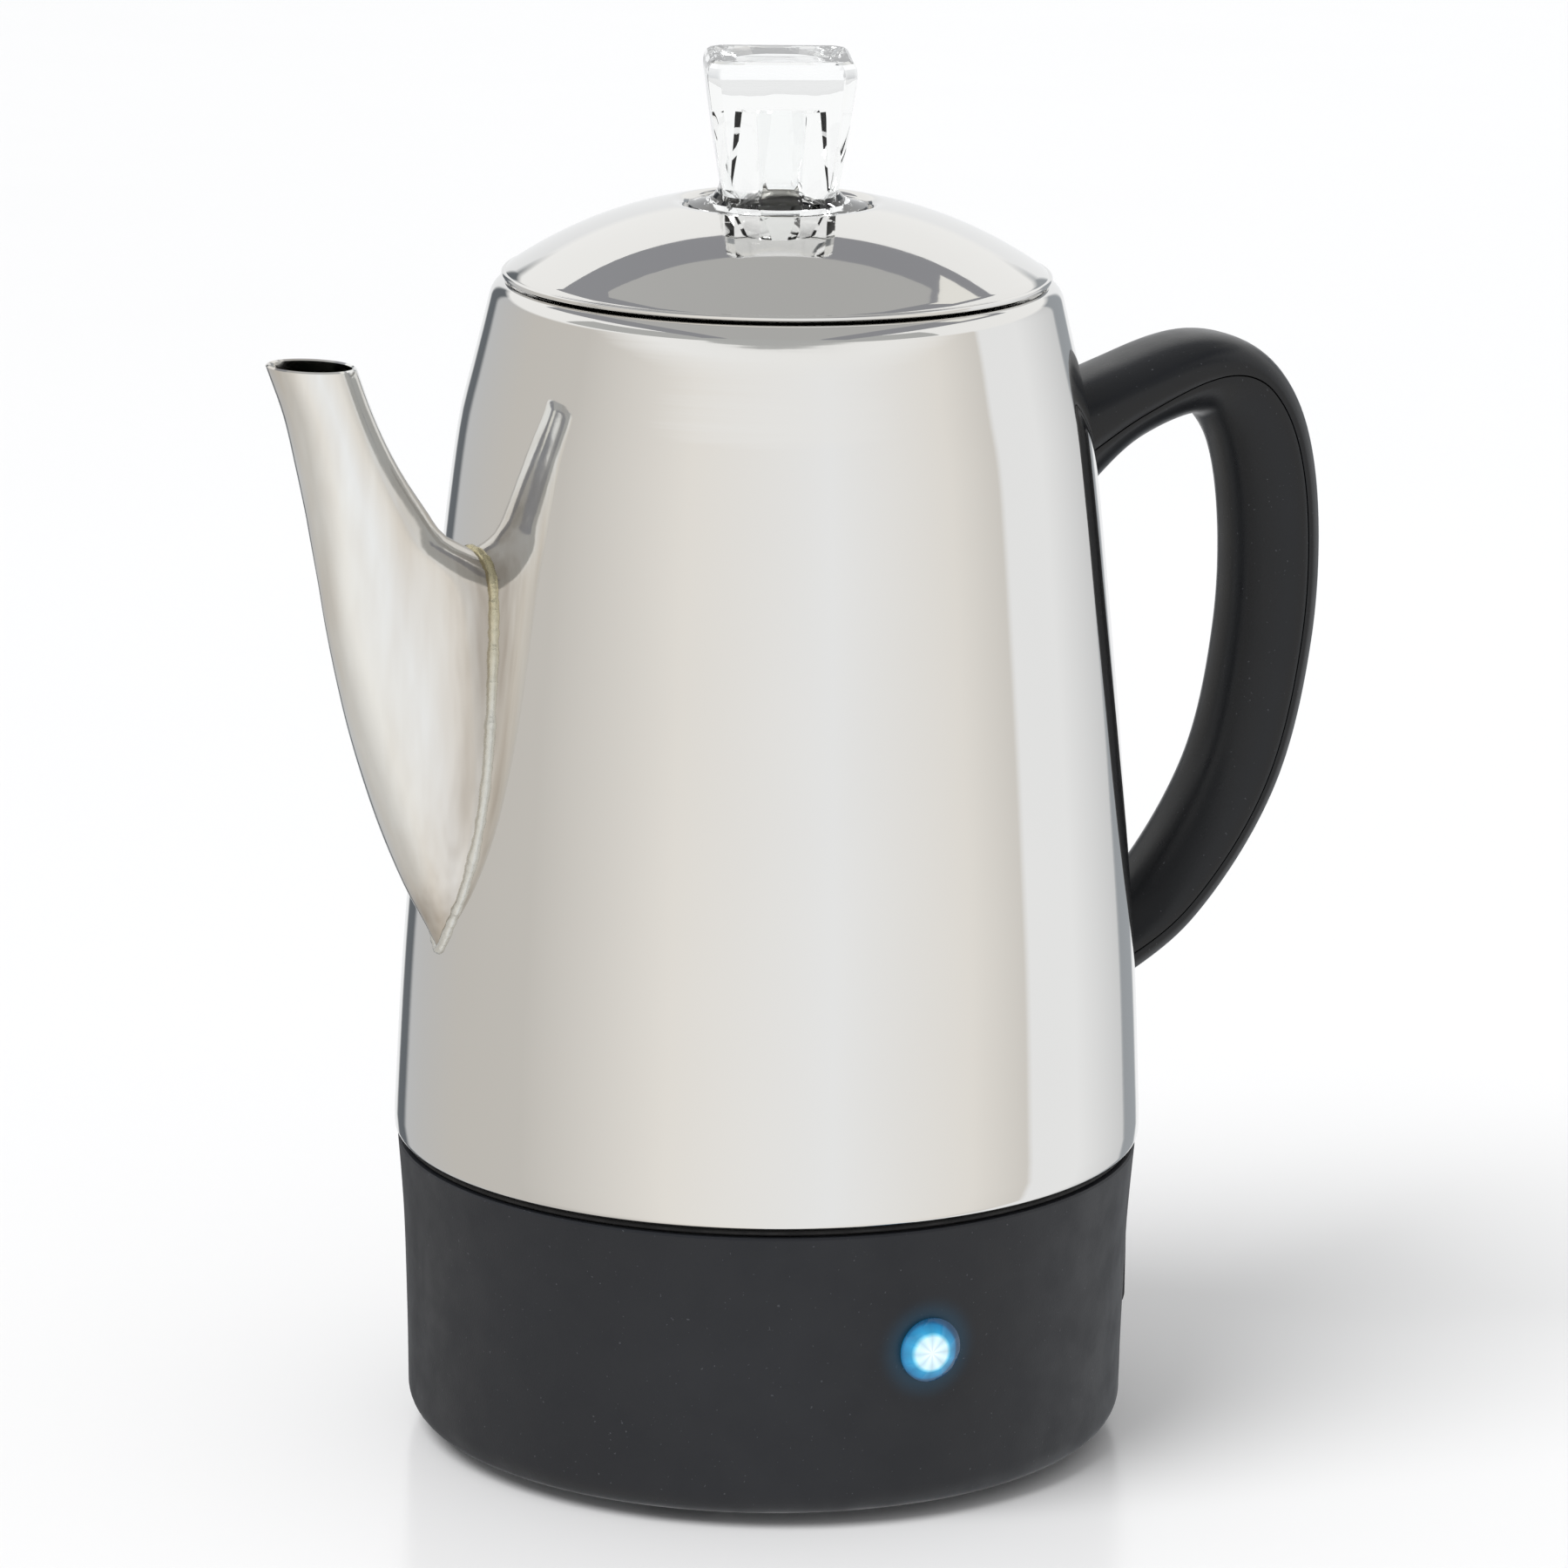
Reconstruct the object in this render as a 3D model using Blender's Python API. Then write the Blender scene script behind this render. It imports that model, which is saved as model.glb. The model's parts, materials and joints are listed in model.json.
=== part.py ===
"""Electric coffee percolator, built as an assembly of separate pieces.

Metres, +Z up. The origin is the middle of the object's footprint on the surface that it stands on.
The pot's own axis of revolution is vertical and stands at x = AXIS_X. The handle points to +X, the
spout to -X, and the indicator light to -Y. Every shape below is drawn round the pot's axis, and an
empty carries it to its place.
"""

import math

import bmesh
import bpy
from mathutils import Matrix, Vector

# ---- Driving dimensions -------------------------------------------------------------------------------------
SHELL_TOP_Z = 0.2206  # top of the vessel's shoulder
SHELL_BOTTOM_Z = 0.0580  # lower edge of the visible steel
SHELL_MAX_R = 0.0708
SHEET = 0.0008  # steel sheet
GAP = 0.0003  # between pieces that touch
SPOUT_REACH = 0.1020
HANDLE_REACH = 0.1159
AXIS_X = (SPOUT_REACH - HANDLE_REACH) / 2

BIG_SEGMENTS = 32  # round shells about the pot's axis
SMALL_SEGMENTS = 10

# Vessel
FLOOR_Z = 0.0500  # underside of the vessel's floor
WELL_R = 0.0150
WELL_DEPTH = 0.0120
SKIRT_R = 0.0662  # the vessel's foot, which stands inside the housing
MOUTH_R = 0.0472  # outside of the lip that hangs into the mouth
LIP_BOTTOM_Z = 0.2120
POUR_WIDTH, POUR_LOW_Z, POUR_HIGH_Z = 0.0130, 0.1250, 0.1660

# Lid
DOME_TOP_Z = 0.2365  # where the dome's surface would meet the axis
DOME_DROP = 0.0149  # from there to the rim
DOME_POWER = 2.4
LID_RIM_R = 0.0510
SEAT_R = 0.0172  # the recess that takes the knob's flange
SEAT_EDGE_R = 0.0192  # where the dome starts to roll into the recess
SEAT_Z = 0.2322
KNOB_HOLE_R = 0.0126
COLLAR_R = 0.0454
COLLAR_INNER_R = 0.0395
COLLAR_BOTTOM_Z = 0.2100

# Knob
KNOB_TOP_Z = 0.2622
KNOB_TURN = math.radians(-24.5)  # a face's direction at rest
KNOB_SEGMENTS = 36
KNOB_CORNER = math.radians(40)  # from a face's middle to its edge, so that the corners are cut
KNOB_FLANGE_R = 0.0168
LUG_R = 0.0142
LUG_HALF_ANGLE = math.radians(25)
NOTCH_HALF_ANGLE = math.radians(30)

# Base
HOUSING_TOP_Z = 0.0566
HOUSING_WALL = 0.0025
BASE_PLATE_R = 0.0600
FOOT_CIRCLE_R = 0.0490
POST_CIRCLE_R = 0.0430
LAMP_Z = 0.0335
LIGHT_TURN = math.radians(-91.4)
INLET_Z = 0.0270
INLET_HALF_Y, INLET_HALF_Z = 0.0168, 0.0096

# Brewing parts
STEM_R = 0.0046
STEM_BORE_R = 0.0036
STEM_TOP_Z = 0.2380
STEM_BOTTOM_Z = 0.0530
BASKET_R = 0.0425
BASKET_FLOOR_Z = 0.1600
BASKET_TOP_Z = 0.2060
BASKET_TUBE_R = 0.0062


# ---- Scene, materials and helpers ---------------------------------------------------------------------------
for old in list(bpy.data.objects):
    bpy.data.objects.remove(old)

axis = bpy.data.objects.new("pot_axis", None)
axis.location = (AXIS_X, 0, 0)
bpy.context.scene.collection.objects.link(axis)


def material(name, colour, roughness, metallic=0.0):
    made = bpy.data.materials.new(name)
    made.use_nodes = True
    shader = made.node_tree.nodes["Principled BSDF"]
    shader.inputs["Base Color"].default_value = (*colour, 1)
    shader.inputs["Roughness"].default_value = roughness
    shader.inputs["Metallic"].default_value = metallic
    return made


STEEL = material("polished_steel", (0.76, 0.75, 0.72), 0.12, 1.0)
PLATED = material("plated_steel", (0.62, 0.62, 0.60), 0.35, 1.0)
ALUMINIUM = material("aluminium", (0.70, 0.71, 0.72), 0.45, 1.0)
BRASS = material("brass", (0.72, 0.56, 0.28), 0.30, 1.0)
BLACK = material("black_plastic", (0.030, 0.032, 0.036), 0.55)
RUBBER = material("black_rubber", (0.020, 0.020, 0.020), 0.85)
GLASS = material("clear_glass", (0.93, 0.96, 0.97), 0.03)
LENS = material("blue_lens", (0.02, 0.35, 0.70), 0.08)
CERAMIC = material("ceramic", (0.82, 0.80, 0.74), 0.70)
RED_WIRE = material("red_insulation", (0.55, 0.04, 0.03), 0.60)
WHITE_WIRE = material("white_insulation", (0.80, 0.79, 0.75), 0.60)


def add(name, bm, finish, smooth_below=math.radians(40)):
    """Makes the bmesh an object on the pot's axis."""
    bmesh.ops.recalc_face_normals(bm, faces=bm.faces)
    mesh = bpy.data.meshes.new(name)
    bm.to_mesh(mesh)
    bm.free()
    mesh.shade_smooth()
    mesh.set_sharp_from_angle(angle=smooth_below)
    mesh.materials.append(finish)
    made = bpy.data.objects.new(name, mesh)
    bpy.context.scene.collection.objects.link(made)
    made.parent = axis
    return made


def cutter(name, bm):
    made = add(name, bm, BLACK)
    made.hide_render = True
    made.display_type = "WIRE"
    return made


def boolean(target, tool, operation):
    change = target.modifiers.new(tool.name, "BOOLEAN")
    change.operation = operation
    change.solver = "EXACT"
    change.object = tool


def cut(target, tool):
    boolean(target, tool, "DIFFERENCE")


def join(target, tool):
    boolean(target, tool, "UNION")


def bridge(bm, first, second):
    """Quads between two closed rings of as many vertices."""
    count = len(first)
    for i in range(count):
        j = (i + 1) % count
        bm.faces.new((first[i], first[j], second[j], second[i]))


def lathe(profile, segments=BIG_SEGMENTS, bm=None):
    """Turns a profile of (radius, z) about Z. A profile whose two ends are at radius 0 closes there, any other
    profile is a closed outline clear of the axis."""
    bm = bm or bmesh.new()
    solid = profile[0][0] == 0 and profile[-1][0] == 0
    rings = []
    for radius, z in profile[1:-1] if solid else profile:
        turns = [2 * math.pi * k / segments for k in range(segments)]
        rings.append([bm.verts.new((radius * math.cos(t), radius * math.sin(t), z)) for t in turns])
    for lower, upper in zip(rings, rings[1:]):
        bridge(bm, lower, upper)
    if not solid:
        bridge(bm, rings[-1], rings[0])
        return bm
    for ring, (_, z) in ((rings[0], profile[0]), (rings[-1], profile[-1])):
        if abs(ring[0].co.z - z) < 1e-7:
            bm.faces.new(ring)
            continue
        pole = bm.verts.new((0, 0, z))
        for i in range(segments):
            bm.faces.new((ring[i], ring[(i + 1) % segments], pole))
    return bm


def loft(rings, bm=None):
    """A closed solid through rings of points, with a flat cap on each end."""
    bm = bm or bmesh.new()
    made = [[bm.verts.new(p) for p in ring] for ring in rings]
    for lower, upper in zip(made, made[1:]):
        bridge(bm, lower, upper)
    bm.faces.new(made[0])
    bm.faces.new(made[-1])
    return bm


def move(bm, matrix):
    bmesh.ops.transform(bm, matrix=matrix, verts=bm.verts)
    return bm


def box(low, high):
    bm = bmesh.new()
    size = [h - l for l, h in zip(low, high)]
    middle = Matrix.Translation([(l + h) / 2 for l, h in zip(low, high)])
    bmesh.ops.create_cube(bm, size=1, matrix=middle @ Matrix.Diagonal((*size, 1)))
    return bm


def rod(radius, length, segments=SMALL_SEGMENTS):
    """A cylinder that stands on the origin."""
    return lathe([(0, 0), (radius, 0), (radius, length), (0, length)], segments)


def pointing(direction, at):
    """The matrix that turns +Z to a direction and moves the origin to a point."""
    turn = Vector(direction).to_track_quat("Z", "Y").to_matrix().to_4x4()
    return Matrix.Translation(at) @ turn


def arc(centre, radius, start, end, count):
    """Points of an arc, angles in degrees, as (radius from the axis, z)."""
    angles = [math.radians(start + (end - start) * k / (count - 1)) for k in range(count)]
    return [(centre[0] + radius * math.cos(a), centre[1] + radius * math.sin(a)) for a in angles]


def curve_point(points, share):
    """The point at a share of the smooth curve that runs through the given points."""
    place = share * (len(points) - 1)
    i = min(int(place), len(points) - 2)
    t = place - i
    ends = [2 * points[0] - points[1], *points, 2 * points[-1] - points[-2]]
    a, b, c, d = ends[i : i + 4]
    return 0.5 * (2 * b + (c - a) * t + (2 * a - 5 * b + 4 * c - d) * t**2 + (3 * b - a - 3 * c + d) * t**3)


def along(table, x):
    """Reads straight lines through (x, value) pairs at x."""
    for (x0, y0), (x1, y1) in zip(table, table[1:]):
        if x <= x1:
            t = max(0.0, (x - x0) / (x1 - x0))
            return y0 + (y1 - y0) * t
    return table[-1][1]


def polar(radius, angle, z=0.0):
    return Vector((radius * math.cos(angle), radius * math.sin(angle), z))


# ---- Vessel: a steel cup with a heating well in its floor ---------------------------------------------------
# The wall leans in as it rises, and a little faster towards the shoulder.
WALL_LINE = [(0.0625, 0.0707), (0.1000, 0.0686), (0.1400, 0.0650), (0.1800, 0.0607), (0.1980, 0.0579),
             (0.2090, 0.0552)]
SHOULDER = (0.0492, 0.2166)  # centre of the shoulder's arc, as (radius, z)
SHOULDER_R = 0.0040


def vessel_profile():
    """Outside from the well up over the shoulder to the lip, then back down the inside."""
    outside = [
        (0, FLOOR_Z - WELL_DEPTH),
        (WELL_R - 0.0015, FLOOR_Z - WELL_DEPTH),
        (WELL_R, FLOOR_Z - WELL_DEPTH + 0.0015),
        (WELL_R + 0.0008, FLOOR_Z),
        (SKIRT_R - 0.0025, FLOOR_Z),
        (SKIRT_R, FLOOR_Z + 0.0025),
        (SKIRT_R, SHELL_BOTTOM_Z),
        (SHELL_MAX_R - 0.0012, SHELL_BOTTOM_Z),
        (SHELL_MAX_R - 0.0003, SHELL_BOTTOM_Z + 0.0010),
        *[(r, z) for z, r in WALL_LINE],
        *arc(SHOULDER, SHOULDER_R, 14, 90, 4),
        (MOUTH_R + 0.0004, SHELL_TOP_Z - 0.0007),
        (MOUTH_R, SHELL_TOP_Z - 0.0020),
        (MOUTH_R, LIP_BOTTOM_Z),
    ]
    inside = [
        (MOUTH_R + SHEET, LIP_BOTTOM_Z),
        (MOUTH_R + SHEET, SHELL_TOP_Z - 0.0020),
        *arc(SHOULDER, SHOULDER_R - SHEET, 90, 14, 4),
        *[(r - SHEET, z) for z, r in reversed(WALL_LINE)],
        (SHELL_MAX_R - 0.0015, SHELL_BOTTOM_Z + SHEET),
        (SKIRT_R - SHEET, SHELL_BOTTOM_Z + SHEET),
        (SKIRT_R - SHEET, FLOOR_Z + 0.0028),
        (SKIRT_R - 0.0028, FLOOR_Z + SHEET),
        (WELL_R + 0.0002, FLOOR_Z + SHEET),
        (WELL_R - SHEET, FLOOR_Z - WELL_DEPTH + 0.0018),
        (WELL_R - 0.0018, FLOOR_Z - WELL_DEPTH + SHEET),
        (0, FLOOR_Z - WELL_DEPTH + SHEET),
    ]
    return outside + inside


def make_vessel():
    vessel = add("vessel", lathe(vessel_profile()), STEEL)
    low, high = POUR_LOW_Z + POUR_WIDTH / 2, POUR_HIGH_Z - POUR_WIDTH / 2
    outline = arc((0, high), POUR_WIDTH / 2, 0, 180, 7) + arc((0, low), POUR_WIDTH / 2, 180, 360, 7)
    rings = [[(x, y, z) for y, z in outline] for x in (-0.075, -0.050)]
    cut(vessel, cutter("pour_opening", loft(rings)))


def envelope(extra):
    """A solid of the vessel's outer form, grown by extra, for trimming what is fixed to it."""
    rise = [(r + extra, z) for z, r in WALL_LINE]
    low = [(0, 0.060), (rise[0][0], 0.060)]
    return lathe([*low, *rise, (rise[-1][0] - 0.003, 0.2180), (0, 0.2180)])


# ---- Spout: a horn of sheet steel that stands over the pour opening ----------------------------------------
# Level sections, each (z, outer ridge's x, inner edge's x, half width).
SPOUT_SECTIONS = [
    (0.0985, -0.0680, -0.0590, 0.0016),
    (0.1050, -0.0713, -0.0560, 0.0046),
    (0.1120, -0.0750, -0.0540, 0.0078),
    (0.1225, -0.0795, -0.0520, 0.0106),
    (0.1326, -0.0831, -0.0500, 0.0118),
    (0.1427, -0.0862, -0.0500, 0.0119),
    (0.1527, -0.0887, -0.0500, 0.0113),
    (0.1625, -0.0908, -0.0510, 0.0105),
    (0.1700, -0.0921, -0.0550, 0.0099),
    (0.1745, -0.0929, -0.0620, 0.0096),
    (0.1780, -0.0935, -0.0680, 0.0094),
    (0.1830, -0.0944, -0.0718, 0.0092),
    (0.1919, -0.0963, -0.0776, 0.0090),
    (0.2010, -0.0985, -0.0821, 0.0087),
    (0.2104, -0.1020, -0.0856, 0.0082),
]
SPOUT_SEGMENTS = 16
TILT_START_Z = 0.1745
MOUTH_TILT = 0.045  # the mouth's outer edge stands higher than its inner edge


def spout_ring(z, ridge, inner, half, wall, tilt):
    """One section, from its ridge round, pulled in by the wall's thickness."""
    centre, length = (ridge + inner) / 2, (inner - ridge) / 2 - wall
    width = max(half - wall, 0.0004)
    ring = []
    for k in range(SPOUT_SEGMENTS):
        turn = 2 * math.pi * k / SPOUT_SEGMENTS
        x = centre - length * math.cos(turn)
        ring.append((x, width * math.sin(turn), z - tilt * (x - centre)))
    return ring


def make_spout():
    tilted_height = SPOUT_SECTIONS[-1][0] - TILT_START_Z
    tilts = [MOUTH_TILT * max(0.0, row[0] - TILT_START_Z) / tilted_height for row in SPOUT_SECTIONS]
    outer = [spout_ring(*row, 0, tilt) for row, tilt in zip(SPOUT_SECTIONS, tilts)]
    spout = add("spout", loft(outer), STEEL)
    hollow = [spout_ring(*row, SHEET, tilt) for row, tilt in zip(SPOUT_SECTIONS, tilts)][1:]
    past_mouth = [Vector(b).lerp(Vector(a), -0.4) for a, b in zip(hollow[-2], hollow[-1])]
    cut(spout, cutter("spout_hollow", loft([*hollow[:-1], past_mouth])))
    cut(spout, cutter("vessel_form", envelope(GAP)))


# ---- Lid, its collar, the gasket and the glass knob ---------------------------------------------------------
def dome_z(radius, thickness=0.0):
    """Height of the dome at a radius, or of a surface that lies a thickness below it."""
    share = radius / LID_RIM_R
    slope = DOME_POWER * DOME_DROP / LID_RIM_R * share ** (DOME_POWER - 1)
    return DOME_TOP_Z - DOME_DROP * share**DOME_POWER - thickness * math.hypot(1, slope)


def make_lid():
    span = LID_RIM_R - 0.0003 - SEAT_EDGE_R
    radii = [SEAT_EDGE_R + span * k / 5 for k in range(6)]
    rim_low = SHELL_TOP_Z + GAP
    profile = [
        (KNOB_HOLE_R, SEAT_Z),
        (SEAT_R - 0.0006, SEAT_Z),
        (SEAT_R, SEAT_Z + 0.0008),
        (SEAT_R + 0.0001, SEAT_Z + 0.0014),
        (SEAT_R + 0.0006, SEAT_Z + 0.0023),
        *[(r, dome_z(r)) for r in radii],
        (LID_RIM_R, dome_z(LID_RIM_R) - 0.0003),
        (LID_RIM_R - 0.0004, rim_low),
        (LID_RIM_R - 0.0011, rim_low),
        *[(r, dome_z(r, SHEET)) for r in reversed(radii[:-1])],
        (SEAT_R + 0.0011, SEAT_Z + 0.0010),
        (SEAT_R + SHEET, SEAT_Z - 0.0002),
        (SEAT_R - 0.0002, SEAT_Z - SHEET),
        (KNOB_HOLE_R, SEAT_Z - SHEET),
    ]
    lid = add("lid", lathe(profile), STEEL)
    for side in (0, 1):
        notch = sector(0.0100, LUG_R + 0.0005, SEAT_Z - 0.003, SEAT_Z + 0.003, math.radians(90 + 180 * side),
                       NOTCH_HALF_ANGLE)
        cut(lid, cutter(f"knob_notch_{side}", notch))


def make_lid_collar():
    """A ring under the dome, with a skirt that hangs into the vessel's mouth."""
    top = [(r, dome_z(r, SHEET) - 0.0005) for r in (COLLAR_INNER_R, 0.0425, COLLAR_R)]
    profile = [
        *top,
        (COLLAR_R, COLLAR_BOTTOM_Z),
        (COLLAR_R - SHEET, COLLAR_BOTTOM_Z),
        (COLLAR_R - SHEET, top[-1][1] - 0.0014),
        *[(r - 0.0001, z - SHEET) for r, z in reversed(top[:-1])],
    ]
    add("lid_collar", lathe(profile), STEEL)


def sector(inner, outer, low, high, middle, half):
    """A curved block between two radii and two heights, about a middle direction."""
    angles = [middle - half + 2 * half * k / 6 for k in range(7)]
    rim = [polar(outer, a) for a in angles] + [polar(inner, a) for a in reversed(angles)]
    return loft([[(p.x, p.y, z) for p in rim] for z in (low, high)])


def octagon_ring(radius, z, segments, turn, roundness=0.0):
    """A regular octagon by its apothem, with its corners eased towards the circle."""
    ring = []
    for k in range(segments):
        angle = 2 * math.pi * k / segments
        off = (angle + math.pi / 8) % (math.pi / 4) - math.pi / 8
        reach = radius * ((1 - roundness) / math.cos(off) + roundness)
        ring.append(tuple(polar(reach, angle + turn, z)))
    return ring


def knob_ring(half, z, roundness=0.0):
    """A square with cut corners, by half its width, eased towards the circle."""
    corner_reach = half * (1 + math.tan(KNOB_CORNER)) / math.sqrt(2)
    ring = []
    for k in range(KNOB_SEGMENTS):
        angle = 2 * math.pi * k / KNOB_SEGMENTS
        off = abs((angle + math.pi / 4) % (math.pi / 2) - math.pi / 4)
        reach = min(half / math.cos(off), corner_reach / math.cos(math.pi / 4 - off))
        ring.append(tuple(polar(reach * (1 - roundness) + half * roundness, angle + KNOB_TURN, z)))
    return ring


def make_knob():
    """A flanged glass knob with a hollow that the stem's top stands in, and two lugs below its flange."""
    floor = SEAT_Z - 0.0030
    flange = [(0.0108, floor), (0.0113, SEAT_Z + 0.0015), (KNOB_FLANGE_R - 0.0005, SEAT_Z + 0.0015),
              (KNOB_FLANGE_R, SEAT_Z + 0.0021), (0.0133, SEAT_Z + 0.0030), (0.0112, SEAT_Z + 0.0054)]
    walls = [(0.0107, SEAT_Z + 0.0059), (0.0121, 0.2470), (0.0137, 0.2590), (0.0134, 0.2612),
             (0.0124, KNOB_TOP_Z)]
    cavity = [(0.0079, 0.2532), (0.0084, 0.2516), (0.0087, 0.2400), (0.0090, floor)]
    rings = [octagon_ring(r, z, KNOB_SEGMENTS, KNOB_TURN, 0.3) for r, z in cavity]
    rings += [knob_ring(r, z, 1.0) for r, z in flange]
    rings += [knob_ring(r, z) for r, z in walls]
    knob = add("knob", loft(rings), GLASS)
    for side in (0, 1):
        lug = sector(0.0104, LUG_R, floor + 0.0002, SEAT_Z - SHEET - GAP, math.radians(180 * side),
                     LUG_HALF_ANGLE)
        join(knob, cutter(f"knob_lug_{side}", lug))
    low = SEAT_Z + GAP
    gasket = [(0.0129, low), (0.0153, low), (0.0153, low + 0.0009), (0.0129, low + 0.0009)]
    add("knob_gasket", lathe(gasket, 24), RUBBER)


# ---- Handle: two mouldings on two brackets ------------------------------------------------------------------
# The middle line from the upper root to the lower one, as (x, z).
HANDLE_POINTS = [(0.0543, 0.1825), (0.0738, 0.1927), (0.0913, 0.1968), (0.1017, 0.1889), (0.1066, 0.1710),
                 (0.1064, 0.1453), (0.0998, 0.1180), (0.0843, 0.0952), (0.0655, 0.0822)]
HANDLE_LINE = [Vector((x, 0, z)) for x, z in HANDLE_POINTS]
# Half the thickness in the handle's plane, and the seam's place in it, by the share of the line's length.
HANDLE_THICK = [(0.0, 0.0126), (0.10, 0.0084), (0.20, 0.0077), (0.35, 0.0088), (0.60, 0.0087), (0.80, 0.0079),
                (1.0, 0.0060)]
HANDLE_SEAM = [(0.0, -0.15), (0.12, -0.18), (0.22, 0.0), (0.34, 0.32), (0.75, 0.36), (0.90, 0.25), (1.0, 0.10)]
HANDLE_HALF_WIDTH = 0.0118
HANDLE_WALL = 0.0026
HANDLE_STATIONS = 17
BRACKET_THICK = 0.0016
BRACKET_HALF_WIDTH = 0.0042
SCREW_HEAD = 0.0014
SCREW_HEAD_R = 0.0034
SCREW_R = 0.0017
SEAM_GAP = 0.02  # from the seam to each moulding, as a share of half the thickness
EGG = 0.22  # how much fuller the section is towards its outer side


def handle_frame(share):
    """(point, direction away from the palm's side, half thickness, seam) at a share of the handle's length."""
    step = 0.004
    low, high = max(0.0, share - step), min(1.0, share + step)
    here, before, after = (curve_point(HANDLE_LINE, s) for s in (share, low, high))
    direction = (after - before).normalized()
    outwards = Vector((-direction.z, 0, direction.x))
    return here, outwards, along(HANDLE_THICK, share), along(HANDLE_SEAM, share)


def section_point(thick, half, turn):
    """A point of the egg-shaped section: (outwards in the handle's plane, sideways)."""
    side = math.copysign(abs(math.sin(turn)) ** 0.8, math.sin(turn))
    return thick * math.cos(turn), half * side * (1 + EGG * math.cos(turn)) / (1 + EGG * 0.35)


def handle_half(outer_half):
    """One moulding as a channel, open along the seam."""
    side = 1 if outer_half else -1
    shares = [i / 3 for i in range(-3, 4)]
    rings = []
    for k in range(HANDLE_STATIONS):
        point, outwards, thick, seam = handle_frame(k / (HANDLE_STATIONS - 1))
        limit = math.acos(seam + SEAM_GAP * side)
        ring = []
        for inset, order in ((0.0, 1), (HANDLE_WALL, -1)):
            for t in shares[::order]:
                turn = t * limit if outer_half else math.pi + t * (math.pi - limit)
                u, v = section_point(thick - inset, HANDLE_HALF_WIDTH - inset, turn)
                if abs(t) == 1:
                    u = thick * (seam + SEAM_GAP * side)
                ring.append(point + outwards * u + Vector((0, v, 0)))
        rings.append(ring)
    return loft(rings)


def strip(points):
    """A bent strip of sheet metal from the line of its middle, in the plane y = 0."""
    left, right = [], []
    for i, p in enumerate(points):
        before, after = points[max(0, i - 1)], points[min(len(points) - 1, i + 1)]
        way = (after - before).normalized()
        normal = Vector((-way.z, 0, way.x)) * BRACKET_THICK / 2
        left.append(p + normal)
        right.append(p - normal)
    outline = left + right[::-1]
    return loft([[(p.x, y, p.z) for p in outline] for y in (-BRACKET_HALF_WIDTH, BRACKET_HALF_WIDTH)])


def screw(length, shank_r, head_r, head):
    """A pan-head screw whose shank points along +Z, with its head's face at the origin."""
    return lathe([(0, 0), (head_r * 0.8, 0), (head_r, head * 0.5), (head_r, head), (shank_r, head),
                  (shank_r, length - shank_r), (0, length)], SMALL_SEGMENTS)


def make_handle():
    form = cutter("handle_form", envelope(GAP))
    grip = add("handle_inner", handle_half(False), BLACK)
    cover = add("handle_outer", handle_half(True), BLACK)
    for half in (grip, cover):
        cut(half, form)
    # Each bracket: its flange's two points on the wall, the shares of the handle's line that its arm and its
    # screw are at, the moulding that the screw holds, and the side of the line that the screw's head is on.
    brackets = {
        "upper": (((0.0611, 0.1835), (0.0602, 0.1885)), (0.080, 0.180), 0.130, grip, -1),
        "lower": (((0.0704, 0.0833), (0.0703, 0.0855)), (0.960, 0.860), 0.905, cover, 1),
    }
    for name, (flange, arm, screw_share, moulding, side) in brackets.items():
        line = [Vector((x, 0, z)) for x, z in flange] + [curve_point(HANDLE_LINE, s) for s in arm]
        bracket = add(f"handle_bracket_{name}", strip(line), PLATED)
        middle, outwards, thick, _ = handle_frame(screw_share)
        out = outwards * side
        depth = thick - 0.0006
        driven = screw(depth + 0.003, SCREW_R, SCREW_HEAD_R, SCREW_HEAD)
        add(f"handle_screw_{name}", move(driven, pointing(-out, middle + out * depth)), PLATED)
        way_in = pointing(-out, middle + out * 0.016)
        hole = cutter(f"screw_hole_{name}", move(rod(SCREW_R + 0.0004, 0.020), way_in))
        seat = middle + out * (depth - SCREW_HEAD - GAP)
        pocket = cutter(f"screw_pocket_{name}", move(rod(SCREW_HEAD_R + 0.0004, 0.010), pointing(out, seat)))
        cut(bracket, form)
        cut(bracket, hole)
        cut(moulding, hole)
        cut(moulding, pocket)


# ---- Base: housing, plate, feet, posts and screws -----------------------------------------------------------
HOUSING_LINE = [(0.0070, 0.0680), (0.0200, 0.0683), (0.0400, 0.0689), (0.0480, 0.0694), (HOUSING_TOP_Z, 0.0701)]
HOUSING_LOW_Z = 0.0020
HOUSING_CORNER_R = 0.0050
PLATE_LOW_Z, PLATE_HIGH_Z = 0.0022, 0.0043


def housing_radius(z):
    return along(HOUSING_LINE, z)


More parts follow.
